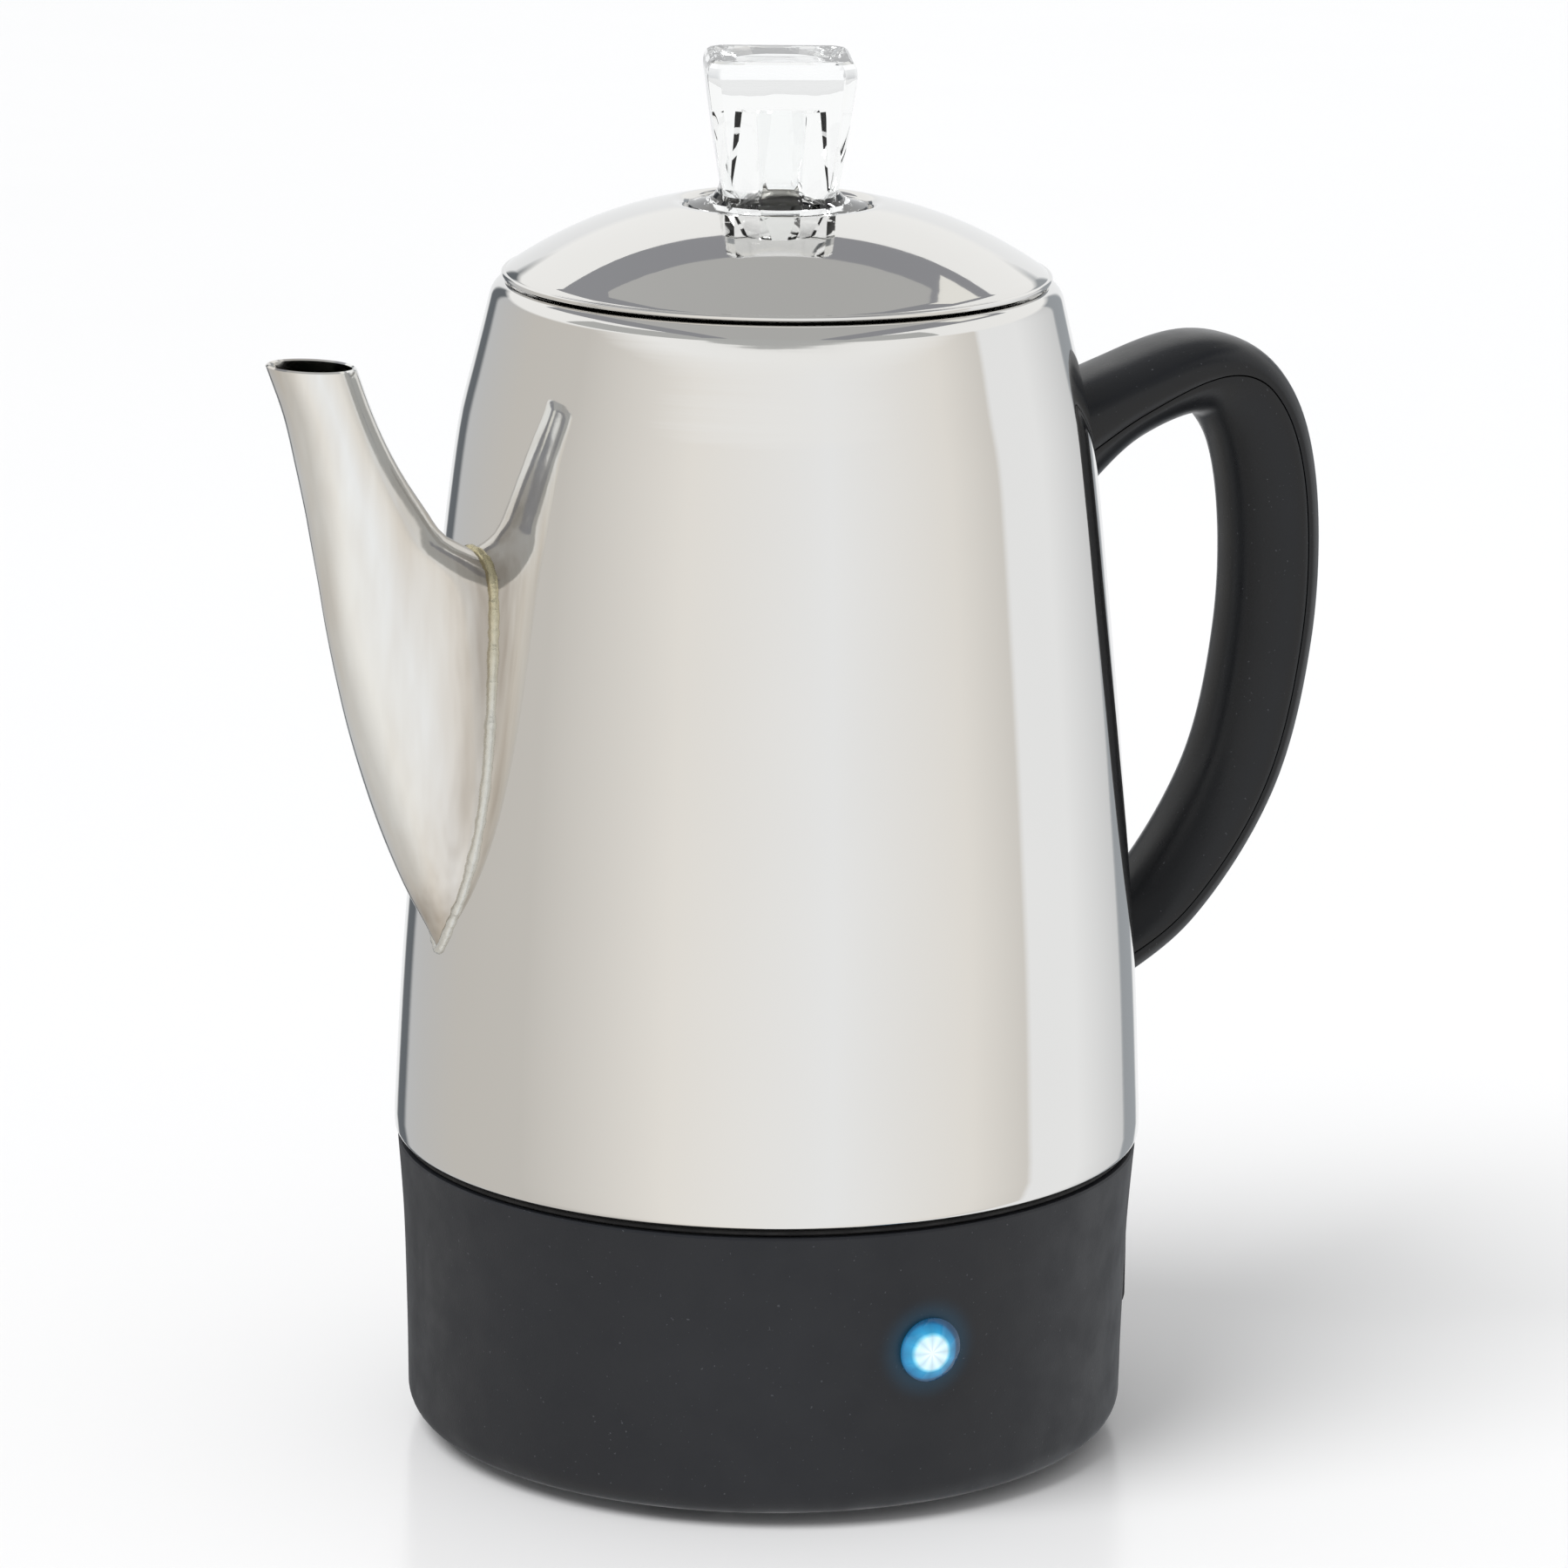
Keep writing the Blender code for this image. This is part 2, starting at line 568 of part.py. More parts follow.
def make_housing():
    turn_r = housing_radius(HOUSING_LOW_Z + HOUSING_CORNER_R) - HOUSING_CORNER_R
    outside = [
        (BASE_PLATE_R + 0.0010, HOUSING_LOW_Z),
        *arc((turn_r, HOUSING_LOW_Z + HOUSING_CORNER_R), HOUSING_CORNER_R, -90, 0, 4),
        *[(housing_radius(z), z) for z in (0.0400, HOUSING_TOP_Z)],
    ]
    inside = [
        *[(housing_radius(z) - HOUSING_WALL, z) for z in (HOUSING_TOP_Z, 0.0400, 0.0090)],
        (turn_r, 0.0068),
        (BASE_PLATE_R - 0.0060, 0.0068),
        (BASE_PLATE_R - 0.0060, PLATE_HIGH_Z + GAP),
        (BASE_PLATE_R + 0.0010, PLATE_HIGH_Z + GAP),
    ]
    housing = add("base_housing", lathe(outside + inside), BLACK)
    lamp_way = pointing(polar(1, LIGHT_TURN), polar(0.055, LIGHT_TURN, LAMP_Z))
    cut(housing, cutter("lamp_hole", move(rod(0.0054, 0.030), lamp_way)))
    half_y, half_z = INLET_HALF_Y + 0.0004, INLET_HALF_Z + 0.0004
    inlet_hole = box((0.055, -half_y, INLET_Z - half_z), (0.080, half_y, INLET_Z + half_z))
    cut(housing, cutter("inlet_hole", inlet_hole))


def make_base_plate():
    profile = [(0, PLATE_LOW_Z), (BASE_PLATE_R, PLATE_LOW_Z), (BASE_PLATE_R, PLATE_HIGH_Z), (0, PLATE_HIGH_Z)]
    plate = add("base_plate", lathe(profile), BLACK)
    holes = [(polar(FOOT_CIRCLE_R, math.radians(45 + 90 * k)), 0.0027) for k in range(4)]
    holes += [(polar(POST_CIRCLE_R, math.radians(120 * k)), 0.0021) for k in range(3)]
    for number, (place, radius) in enumerate(holes):
        hole = move(rod(radius, 0.010, 12), Matrix.Translation(place - Vector((0, 0, 0.002))))
        cut(plate, cutter(f"plate_hole_{number}", hole))
    for k in range(3):
        slot = box((-0.0015, 0.016, -0.002), (0.0015, 0.034, 0.008))
        cut(plate, cutter(f"vent_{k}", move(slot, Matrix.Rotation(math.radians(60 + 120 * k), 4, "Z"))))


def make_feet():
    """Rubber feet that are pushed through the plate and held by a barb."""
    neck, barb = 0.0023, 0.0033
    shoulder, catch = PLATE_LOW_Z - GAP, PLATE_HIGH_Z + GAP
    profile = [(0, 0), (0.0058, 0), (0.0064, 0.0005), (0.0064, 0.0015), (0.0060, shoulder), (neck, shoulder),
               (neck, catch), (barb, catch), (neck - 0.0004, 0.0066), (0, 0.0066)]
    for k in range(4):
        at = Matrix.Translation(polar(FOOT_CIRCLE_R, math.radians(45 + 90 * k)))
        add(f"foot_{k + 1}", move(lathe(profile, SMALL_SEGMENTS), at), RUBBER)


def make_posts_and_screws():
    """Posts between the plate and the vessel's floor, each with a screw from below."""
    low, top = PLATE_HIGH_Z + 0.0004, FLOOR_Z - GAP
    post = [(0.0020, low), (0.0040, low), (0.0040, top - 0.0015), (0.0055, top - 0.0015), (0.0055, top),
            (0.0020, top)]
    for k in range(3):
        place = polar(POST_CIRCLE_R, math.radians(120 * k))
        add(f"base_post_{k + 1}", move(lathe(post, SMALL_SEGMENTS), Matrix.Translation(place)), PLATED)
        driven = screw(0.0140, 0.0016, 0.0032, 0.0016)
        add(f"base_screw_{k + 1}", move(driven, Matrix.Translation(place + Vector((0, 0, GAP)))), PLATED)


def make_seal():
    low, high = HOUSING_TOP_Z + GAP, SHELL_BOTTOM_Z - GAP
    add("base_seal", lathe([(0.0672, low), (0.0692, low), (0.0692, high), (0.0672, high)]), RUBBER)


# ---- Heating parts inside the base --------------------------------------------------------------------------
def ring_path(radius, z, start, end, count):
    return [polar(radius, math.radians(start + (end - start) * k / (count - 1)), z) for k in range(count)]


def tube(name, points, radius, finish, resolution=1):
    """A round rod along a line of points."""
    curve = bpy.data.curves.new(name, "CURVE")
    curve.dimensions = "3D"
    line = curve.splines.new("POLY")
    line.points.add(len(points) - 1)
    for target, p in zip(line.points, points):
        target.co = (*p, 1)
    curve.bevel_depth = radius
    curve.bevel_resolution = resolution
    curve.use_fill_caps = True
    curve.materials.append(finish)
    made = bpy.data.objects.new(name, curve)
    bpy.context.scene.collection.objects.link(made)
    made.parent = axis
    return made


ELEMENT_R, ELEMENT_Z, ELEMENT_TUBE = 0.0260, 0.0412, 0.0032
ELEMENT_START, ELEMENT_END = 35, 325
THERMOSTAT_R, THERMOSTAT_TURN = 0.0500, math.radians(62)
FUSE_R, FUSE_TURN, FUSE_Z = 0.0480, math.radians(298), 0.0440
FUSE_WAY, FUSE_LENGTH = polar(1, math.radians(28)), 0.0130


def make_heater():
    """A plate under the vessel's floor, round its well, with a ring-shaped element below it."""
    top = FLOOR_Z - GAP
    plate = [(0.0164, top - 0.0050), (0.0340, top - 0.0050), (0.0350, top - 0.0040), (0.0350, top),
             (0.0164, top)]
    add("heater_plate", lathe(plate), ALUMINIUM)
    run = ring_path(ELEMENT_R, ELEMENT_Z, ELEMENT_START, ELEMENT_END, 25)
    tails = [[run[i] + Vector((0.0005, 0, -0.0050)), run[i] + Vector((0.0010, 0, -0.0120))] for i in (0, -1)]
    tube("heating_element", [*reversed(tails[0]), *run, *tails[1]], ELEMENT_TUBE, PLATED)


def make_controls():
    """The keep-warm heater, the thermostat and the thermal fuse, all against the vessel's floor."""
    top = FLOOR_Z - GAP
    slab = box((-0.0045, -0.0100, 0), (0.0045, 0.0100, 0.0055))
    add("keep_warm_heater", move(slab, Matrix.Translation((-0.0495, 0, top - 0.0055))), CERAMIC)
    profile = [(0, 0.0385), (0.0085, 0.0385), (0.0085, 0.0460), (0.0105, 0.0460), (0.0105, 0.0478),
               (0.0070, 0.0478), (0.0070, top), (0, top)]
    place = Matrix.Translation(polar(THERMOSTAT_R, THERMOSTAT_TURN))
    add("thermostat", move(lathe(profile, SMALL_SEGMENTS), place), CERAMIC)
    fuse = move(rod(0.0022, FUSE_LENGTH, 12), pointing(FUSE_WAY, polar(FUSE_R, FUSE_TURN, FUSE_Z)))
    add("thermal_fuse", fuse, WHITE_WIRE)


# ---- Indicator light ----------------------------------------------------------------------------------------
def make_lamp():
    """A faceted lens over the housing's hole, a holder behind it and the lamp inside."""
    segments = 16
    way = polar(1, LIGHT_TURN)
    at = polar(housing_radius(LAMP_Z), LIGHT_TURN, LAMP_Z)
    round_part = [(0.0050, -0.0068), (0.0050, 0.0002), (0.0060, 0.0004), (0.0060, 0.0012)]
    rings = [octagon_ring(r, z, segments, 0, 1.0) for r, z in round_part]
    rings += [octagon_ring(r, z, segments, 0) for r, z in ((0.0053, 0.0019), (0.0034, 0.0029))]
    lens = add("indicator_lens", move(loft(rings), pointing(way, at)), LENS)
    cut(lens, cutter("lens_hollow", move(rod(0.0032, 0.0072, 12), pointing(way, at - way * 0.0088))))
    holder = [(0.0036, -0.0200), (0.0062, -0.0200), (0.0062, -0.0072), (0.0036, -0.0072)]
    add("indicator_holder", move(lathe(holder, SMALL_SEGMENTS), pointing(way, at)), WHITE_WIRE)
    bulb = [(0, -0.0180), (0.0026, -0.0180), (0.0026, -0.0060), (0.0014, -0.0045), (0, -0.0040)]
    add("indicator_lamp", move(lathe(bulb, 12), pointing(way, at)), GLASS)


# ---- Power inlet --------------------------------------------------------------------------------------------
PIN_SPACING = 0.0127
INLET_FACE_X = 0.0700


def make_inlet():
    """A two-pin appliance inlet, set into the housing below the handle."""
    body = box((0.0500, -INLET_HALF_Y, INLET_Z - INLET_HALF_Z),
               (INLET_FACE_X, INLET_HALF_Y, INLET_Z + INLET_HALF_Z))
    long_edges = [e for e in body.edges if abs(e.verts[0].co.x - e.verts[1].co.x) > 0.01]
    bmesh.ops.bevel(body, geom=long_edges, offset=0.0020, segments=2, affect="EDGES", profile=0.5)
    inlet = add("power_inlet", body, BLACK)
    recess = box((0.0560, -0.0138, INLET_Z - 0.0068), (INLET_FACE_X + 0.004, 0.0138, INLET_Z + 0.0068))
    cut(inlet, cutter("inlet_recess", recess))
    pin = [(0, 0), (0.0020, 0), (0.0020, 0.0225), (0.0012, 0.0240), (0, 0.0240)]
    for number, side in ((1, -1), (2, 1)):
        y = side * PIN_SPACING / 2
        hole = move(rod(0.0023, 0.030, 12), pointing((1, 0, 0), (0.0400, y, INLET_Z)))
        cut(inlet, cutter(f"pin_hole_{number}", hole))
        add(f"inlet_pin_{number}", move(lathe(pin, 12), pointing((1, 0, 0), (0.0450, y, INLET_Z))), BRASS)


# ---- Wires inside the base ----------------------------------------------------------------------------------
WIRE_R = 0.0010
WIRE_CLEAR = 0.0005  # between a lead's end and what it serves


def lead(name, finish, *points):
    """A wire on a smooth curve through the points."""
    places = [Vector(p) for p in points]
    tube(name, [curve_point(places, k / 8) for k in range(9)], WIRE_R, finish)


def make_wires():
    down = Vector((0, 0, -1))
    pin_y = PIN_SPACING / 2
    ends = [polar(ELEMENT_R, math.radians(turn), ELEMENT_Z - 0.0125) + Vector((0.001, 0, 0))
            for turn in (ELEMENT_START, ELEMENT_END)]
    thermostat = polar(THERMOSTAT_R, THERMOSTAT_TURN, 0.0380)
    near, far = thermostat + Vector((-0.004, 0, 0)), thermostat + Vector((0.004, 0, 0))
    fuse = polar(FUSE_R, FUSE_TURN, FUSE_Z)
    fuse_far = fuse + FUSE_WAY * (FUSE_LENGTH + WIRE_CLEAR)
    lead("wire_inlet_thermostat", RED_WIRE, (0.0443, pin_y, INLET_Z), (0.0400, pin_y + 0.001, INLET_Z),
         (0.0340, 0.018, 0.0230), (0.0290, 0.036, 0.0260), far + down * 0.004, far + down * WIRE_CLEAR)
    lead("wire_thermostat_heater", RED_WIRE, near + down * WIRE_CLEAR, near + down * 0.006,
         (0.0180, 0.0300, 0.0270), (0.0205, 0.0200, 0.0240), ends[0] + down * 0.004, ends[0] + down * WIRE_CLEAR)
    lead("wire_inlet_fuse", WHITE_WIRE, (0.0443, -pin_y, INLET_Z), (0.0400, -pin_y - 0.001, INLET_Z),
         (0.0400, -0.018, 0.0300), (0.0410, -0.0290, 0.0400), fuse_far + Vector((0.0020, 0.0010, -0.0010)),
         fuse_far)
    lead("wire_fuse_heater", WHITE_WIRE, fuse - FUSE_WAY * WIRE_CLEAR, fuse - FUSE_WAY * 0.004 + down * 0.002,
         (0.0160, -0.0380, 0.0340), (0.0190, -0.0240, 0.0240), ends[1] + down * 0.004, ends[1] + down * WIRE_CLEAR)
    lamp = polar(housing_radius(LAMP_Z) - 0.0205, LIGHT_TURN, LAMP_Z)
    for side, name in ((-1, "wire_lamp_a"), (1, "wire_lamp_b")):
        start = lamp + Vector((side * 0.0016, 0.0044, 0))
        lead(name, WHITE_WIRE, start, start + Vector((side * 0.002, 0.006, -0.002)),
             (0.010 + side * 0.004, -0.0260, 0.0200), (0.0150 + side * 0.004, -0.010, 0.0180 + side * 0.002),
             (0.0165 + side * 0.003, side * 0.006, 0.0200))


# ---- Brewing parts: stem, pump foot, valve, basket and its cover --------------------------------------------
def make_stem():
    tube_profile = [(STEM_BORE_R, STEM_BOTTOM_Z), (STEM_R, STEM_BOTTOM_Z), (STEM_R, STEM_TOP_Z),
                    (STEM_BORE_R, STEM_TOP_Z)]
    add("stem_tube", lathe(tube_profile, SMALL_SEGMENTS), STEEL)
    top, inner = BASKET_FLOOR_Z - GAP, STEM_R + GAP
    stop = [(inner, top - 0.0040), (0.0060, top - 0.0040), (0.0095, top - 0.0012), (0.0095, top), (inner, top)]
    add("basket_stop", lathe(stop, SMALL_SEGMENTS), STEEL)


PUMP_LOW_Z = FLOOR_Z - WELL_DEPTH + SHEET + GAP
CHAMBER_R = 0.0112


def make_pump_foot():
    """A bell over a floor with one hole, joined to the stem by a neck, and the loose disc inside it."""
    low, neck = PUMP_LOW_Z, STEM_R + GAP
    outside = [(0.0040, low), (CHAMBER_R + SHEET, low), (CHAMBER_R + SHEET, low + 0.0050), (0.0100, low + 0.0105),
               (neck + SHEET, low + 0.0140), (neck + SHEET, low + 0.0240)]
    inside = [(neck, low + 0.0240), (neck, low + 0.0136), (0.0093, low + 0.0101), (CHAMBER_R, low + 0.0050),
              (CHAMBER_R, low + SHEET), (0.0040, low + SHEET)]
    add("pump_foot", lathe(outside + inside, 24), STEEL)
    seat = low + SHEET + GAP
    add("pump_valve", lathe([(0, seat), (0.0085, seat), (0.0085, seat + 0.0010), (0, seat + 0.0010)], 24), STEEL)


def drill(target, prefix, rings, radius, z):
    """Drills circles of holes through a flat part; rings lists (circle radius, count)."""
    tool = bmesh.new()
    for circle, count in rings:
        for k in range(count):
            at = Matrix.Translation(polar(circle, 2 * math.pi * (k + 0.5) / count, z - 0.003))
            hole = move(rod(radius, 0.006, 5), at)
            spare = bpy.data.meshes.new("spare")
            hole.to_mesh(spare)
            hole.free()
            tool.from_mesh(spare)
            bpy.data.meshes.remove(spare)
    cut(target, cutter(prefix, tool))


def make_basket():
    floor, top, tube_r = BASKET_FLOOR_Z, BASKET_TOP_Z, BASKET_TUBE_R
    low_r, high_r, bore = 0.0395, BASKET_R, tube_r - SHEET
    profile = [
        (bore, floor),
        (low_r - 0.0030, floor),
        (low_r, floor + 0.0030),
        (high_r, top - 0.0012),
        (high_r + 0.0012, top - 0.0010),
        (high_r + 0.0012, top),
        (high_r - SHEET, top),
        (low_r - SHEET, floor + 0.0034),
        (low_r - 0.0034, floor + SHEET),
        (tube_r + 0.0010, floor + SHEET),
        (tube_r, floor + 0.0018),
        (tube_r, top - 0.0060),
        (bore, top - 0.0060),
    ]
    basket = add("basket", lathe(profile, 24), ALUMINIUM)
    drill(basket, "basket_holes", [(0.0150, 4), (0.0235, 6), (0.0315, 8)], 0.0016, floor)


def make_basket_cover():
    low, bore, rim = BASKET_TOP_Z + GAP, STEM_R + 0.0007, BASKET_R + 0.0006
    profile = [(bore, low + 0.0016), (0.0090, low + 0.0016), (0.0120, low), (rim, low), (rim, low + 0.0022),
               (rim - SHEET, low + 0.0022), (rim - SHEET, low + SHEET), (0.0118, low + SHEET),
               (0.0090, low + 0.0016 + SHEET), (bore, low + 0.0016 + SHEET)]
    cover = add("basket_cover", lathe(profile, 24), ALUMINIUM)
    drill(cover, "cover_holes", [(0.0180, 5), (0.0300, 8)], 0.0018, low)


make_vessel()
make_spout()
make_lid()
make_lid_collar()
make_knob()
make_handle()
make_housing()
make_base_plate()
make_feet()
make_posts_and_screws()
make_seal()
make_heater()
make_controls()
make_lamp()
make_inlet()
make_wires()
make_stem()
make_pump_foot()
make_basket()
make_basket_cover()
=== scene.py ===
"""The looks of the electric percolator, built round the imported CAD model.

Metres, +Z up, the handle to +X, the spout to -X and the indicator light to -Y. The pot's axis of revolution is
vertical at x = AXIS_X. Shapes are drawn round that axis and moved to it by add().
"""

import json
import math

import bmesh
import bpy
from mathutils import Matrix, Vector, noise


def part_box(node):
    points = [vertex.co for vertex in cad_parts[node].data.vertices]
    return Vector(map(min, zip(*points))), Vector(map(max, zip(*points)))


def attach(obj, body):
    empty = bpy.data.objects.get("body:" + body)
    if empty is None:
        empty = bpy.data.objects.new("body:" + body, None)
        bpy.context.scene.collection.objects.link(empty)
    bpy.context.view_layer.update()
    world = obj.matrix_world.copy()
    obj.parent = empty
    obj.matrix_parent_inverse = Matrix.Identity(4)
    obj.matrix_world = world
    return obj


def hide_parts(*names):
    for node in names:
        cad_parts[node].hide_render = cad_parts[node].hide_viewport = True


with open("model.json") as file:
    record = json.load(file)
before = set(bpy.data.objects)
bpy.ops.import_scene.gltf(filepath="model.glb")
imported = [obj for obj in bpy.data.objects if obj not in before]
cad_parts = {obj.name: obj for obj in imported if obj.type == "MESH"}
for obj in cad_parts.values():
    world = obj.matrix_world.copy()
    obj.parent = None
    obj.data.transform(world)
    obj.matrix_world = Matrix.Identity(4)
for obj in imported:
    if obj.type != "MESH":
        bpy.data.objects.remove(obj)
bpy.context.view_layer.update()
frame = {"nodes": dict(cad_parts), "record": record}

# ---- Places that come from the CAD model --------------------------------------------------------------------
vessel_low, vessel_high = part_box("vessel")
housing_low, housing_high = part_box("base_housing")
AXIS_X = (housing_low.x + housing_high.x) / 2
SHELL_TOP_Z = vessel_high.z
SHEET = 0.0008
GAP = 0.0003
SHELL_BOTTOM_Z = 0.0580
FLOOR_Z = 0.0500
WELL_R, WELL_DEPTH = 0.0150, 0.0120
SKIRT_R = 0.0662
MOUTH_R = 0.0472
LIP_BOTTOM_Z = 0.2120

DOME_TOP_Z, DOME_DROP, DOME_POWER = 0.2365, 0.0149, 2.4
LID_RIM_R = 0.0510
SEAT_R, SEAT_EDGE_R, SEAT_Z = 0.0172, 0.0192, 0.2322
KNOB_HOLE_R = 0.0126
COLLAR_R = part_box("lid_collar")[1].x - AXIS_X
COLLAR_BOTTOM_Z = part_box("lid_collar")[0].z

KNOB_TOP_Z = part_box("knob")[1].z
KNOB_TURN = math.radians(-24.5)
KNOB_CORNER = math.radians(40)
KNOB_FLANGE_R = 0.0168
KNOB_SHARP = 16  # degrees between faces above which the glass keeps an edge
LUG_R = 0.0142
LUG_HALF_ANGLE = math.radians(25)
NOTCH_HALF_ANGLE = math.radians(30)

HOUSING_TOP_Z = housing_high.z
HOUSING_WALL = 0.0025
BASE_PLATE_R = 0.0600
FOOT_CIRCLE_R = 0.0490
POST_CIRCLE_R = 0.0430
LAMP_Z = 0.0335
INLET_Z = 0.0270
LIGHT_TURN = math.radians(-91.4)

STEM_R, STEM_BORE_R = 0.0046, 0.0036
STEM_TOP_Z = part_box("stem_tube")[1].z
STEM_BOTTOM_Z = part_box("stem_tube")[0].z
BASKET_R = 0.0425
BASKET_FLOOR_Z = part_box("basket")[0].z
BASKET_TOP_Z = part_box("basket")[1].z
BASKET_TUBE_R = 0.0062

LIGHT_AT = Vector((AXIS_X + 0.0687 * math.cos(LIGHT_TURN), 0.0687 * math.sin(LIGHT_TURN), LAMP_Z))

ROUND = 160  # segments of the large turned shells
TO_AXIS = Matrix.Translation((AXIS_X, 0, 0))


# ---- Node materials -----------------------------------------------------------------------------------------
def srgb(red, green, blue):
    """A colour from 0-255 display values."""
    def linear(v):
        v /= 255
        return v / 12.92 if v <= 0.04045 else ((v + 0.055) / 1.055) ** 2.4
    return (linear(red), linear(green), linear(blue), 1.0)


class Surface:
    """A Principled material and the few node chains that the materials here share."""

    def __init__(self, name, colour, roughness, metallic=0.0, **sockets):
        self.material = bpy.data.materials.new(name)
        self.material.use_nodes = True
        self.tree = self.material.node_tree
        self.shader = self.tree.nodes["Principled BSDF"]
        self.shader.inputs["Base Color"].default_value = colour
        self.shader.inputs["Roughness"].default_value = roughness
        self.shader.inputs["Metallic"].default_value = metallic
        for socket, value in sockets.items():
            self.shader.inputs[socket.replace("_", " ")].default_value = value
        self.place = self.tree.nodes.new("ShaderNodeTexCoord").outputs["Object"]
        self.normal = None

    def link(self, source, target):
        self.tree.links.new(source, target)

    def stretched(self, scale):
        """Object coordinates, scaled per axis."""
        mapping = self.tree.nodes.new("ShaderNodeMapping")
        mapping.inputs["Scale"].default_value = scale
        self.link(self.place, mapping.inputs["Vector"])
        return mapping.outputs["Vector"]

    def noise(self, scale, detail=3.0, stretch=(1, 1, 1), roughness=0.5):
        made = self.tree.nodes.new("ShaderNodeTexNoise")
        made.inputs["Scale"].default_value = scale
        made.inputs["Detail"].default_value = detail
        made.inputs["Roughness"].default_value = roughness
        self.link(self.stretched(stretch), made.inputs["Vector"])
        return made.outputs["Fac"]

    def ramp(self, factor, stops):
        """A colour ramp; stops are (position, colour or grey level)."""
        made = self.tree.nodes.new("ShaderNodeValToRGB")
        elements = made.color_ramp.elements
        while len(elements) < len(stops):
            elements.new(0.5)
        for element, (position, value) in zip(elements, stops):
            element.position = position
            element.color = value if isinstance(value, tuple) else (value, value, value, 1)
        self.link(factor, made.inputs["Fac"])
        return made.outputs["Color"]

    def rough(self, factor, low, high, start=0.35, end=0.65):
        self.link(self.ramp(factor, [(start, low), (end, high)]), self.shader.inputs["Roughness"])

    def colour(self, factor, stops):
        self.link(self.ramp(factor, stops), self.shader.inputs["Base Color"])

    def bump(self, height, strength, distance):
        made = self.tree.nodes.new("ShaderNodeBump")
        made.inputs["Strength"].default_value = strength
        made.inputs["Distance"].default_value = distance
        self.link(height, made.inputs["Height"])
        if self.normal is not None:
            self.link(self.normal, made.inputs["Normal"])
        self.normal = made.outputs["Normal"]
        self.link(self.normal, self.shader.inputs["Normal"])


STEEL_COLOUR = srgb(231, 230, 228)


def polished_steel():
    """Mirror-polished sheet: faint polishing lines round the pot, soft smears, the slightest unevenness."""
    made = Surface("polished_steel", STEEL_COLOUR, 0.05, 1.0)
    smears = made.noise(26, 5, (1, 1, 0.35), 0.6)
    made.rough(smears, 0.020, 0.055)
    made.colour(made.noise(14, 3, (1, 1, 0.5)), [(0.3, srgb(229, 228, 226)), (0.7, srgb(233, 232, 230))])
    made.bump(made.noise(420, 2, (0.05, 0.05, 1)), 0.05, 0.0002)
    made.bump(made.noise(9, 1), 0.06, 0.002)
    return made.material


def satin_steel():
    """The spout's hand-finished sheet: streaks along it, and by the bead the tint left by heating, deepened into
    a painted dark reflection.
    """
    made = Surface("satin_steel", srgb(222, 220, 216), 0.12, 1.0)
    streaks = made.noise(190, 4, (1, 1, 0.06), 0.65)
    made.rough(streaks, 0.08, 0.17)
    stains = made.noise(60, 4, (1, 1, 0.14), 0.6)
    sheet = made.ramp(stains, [(0.30, srgb(186, 178, 168)), (0.45, srgb(222, 218, 212)),
                               (0.70, srgb(240, 241, 240))])
    # Painted reflection: next to the wall this ramp darkens the sheet to grey. It stands in for a dark
    # reflection as well as the tint left by heating at the bead.
    heat, sheet_with_tint_and_reflection = made.tree.nodes.new("ShaderNodeAttribute"), made.tree.nodes.new("ShaderNodeMix")
    heat.attribute_name = "heat"
    tint = made.ramp(heat.outputs["Fac"], [(0.0, srgb(255, 255, 255)), (0.47, srgb(250, 246, 240)),
                                           (0.77, srgb(226, 208, 194)), (1.0, srgb(120, 118, 124))])
    sheet_with_tint_and_reflection.data_type, sheet_with_tint_and_reflection.blend_type = "RGBA", "MULTIPLY"
    sheet_with_tint_and_reflection.inputs["Factor"].default_value = 1.0
    made.link(sheet, sheet_with_tint_and_reflection.inputs["A"])
    made.link(tint, sheet_with_tint_and_reflection.inputs["B"])
    made.link(sheet_with_tint_and_reflection.outputs["Result"], made.shader.inputs["Base Color"])
    made.bump(streaks, 0.10, 0.0003)
    made.bump(made.noise(40, 2, (1, 1, 0.3)), 0.10, 0.001)
    return made.material


def solder():
    """A bright, lumpy bead, a little yellow towards its upper end."""
    made = Surface("solder", srgb(205, 203, 196), 0.28, 1.0)
    separate = made.tree.nodes.new("ShaderNodeSeparateXYZ")
    made.link(made.place, separate.inputs["Vector"])
    reach = made.tree.nodes.new("ShaderNodeMapRange")
    reach.inputs["From Min"].default_value = 0.100
    reach.inputs["From Max"].default_value = 0.176
    made.link(separate.outputs["Z"], reach.inputs["Value"])
    made.colour(reach.outputs["Result"], [(0.0, srgb(222, 222, 218)), (0.60, srgb(212, 211, 204)),
                                          (1.0, srgb(200, 190, 152))])
    made.rough(made.noise(900, 3), 0.20, 0.42)
    made.bump(made.noise(1100, 3), 0.35, 0.0004)
    return made.material


def plain_steel(name, colour, roughness):
    """Drawn or plated steel with fine lines and stains."""
    made = Surface(name, colour, roughness, 1.0)
    made.rough(made.noise(90, 4), roughness * 0.8, roughness * 1.35)
    made.bump(made.noise(700, 2, (0.1, 0.1, 1)), 0.10, 0.0002)
    return made.material


def aluminium():
    made = Surface("aluminium", srgb(214, 214, 212), 0.38, 1.0)
    made.colour(made.noise(60, 4), [(0.3, srgb(200, 200, 198)), (0.7, srgb(222, 222, 221))])
    made.rough(made.noise(220, 4), 0.30, 0.46)
    made.bump(made.noise(1500, 2), 0.10, 0.0002)
    return made.material


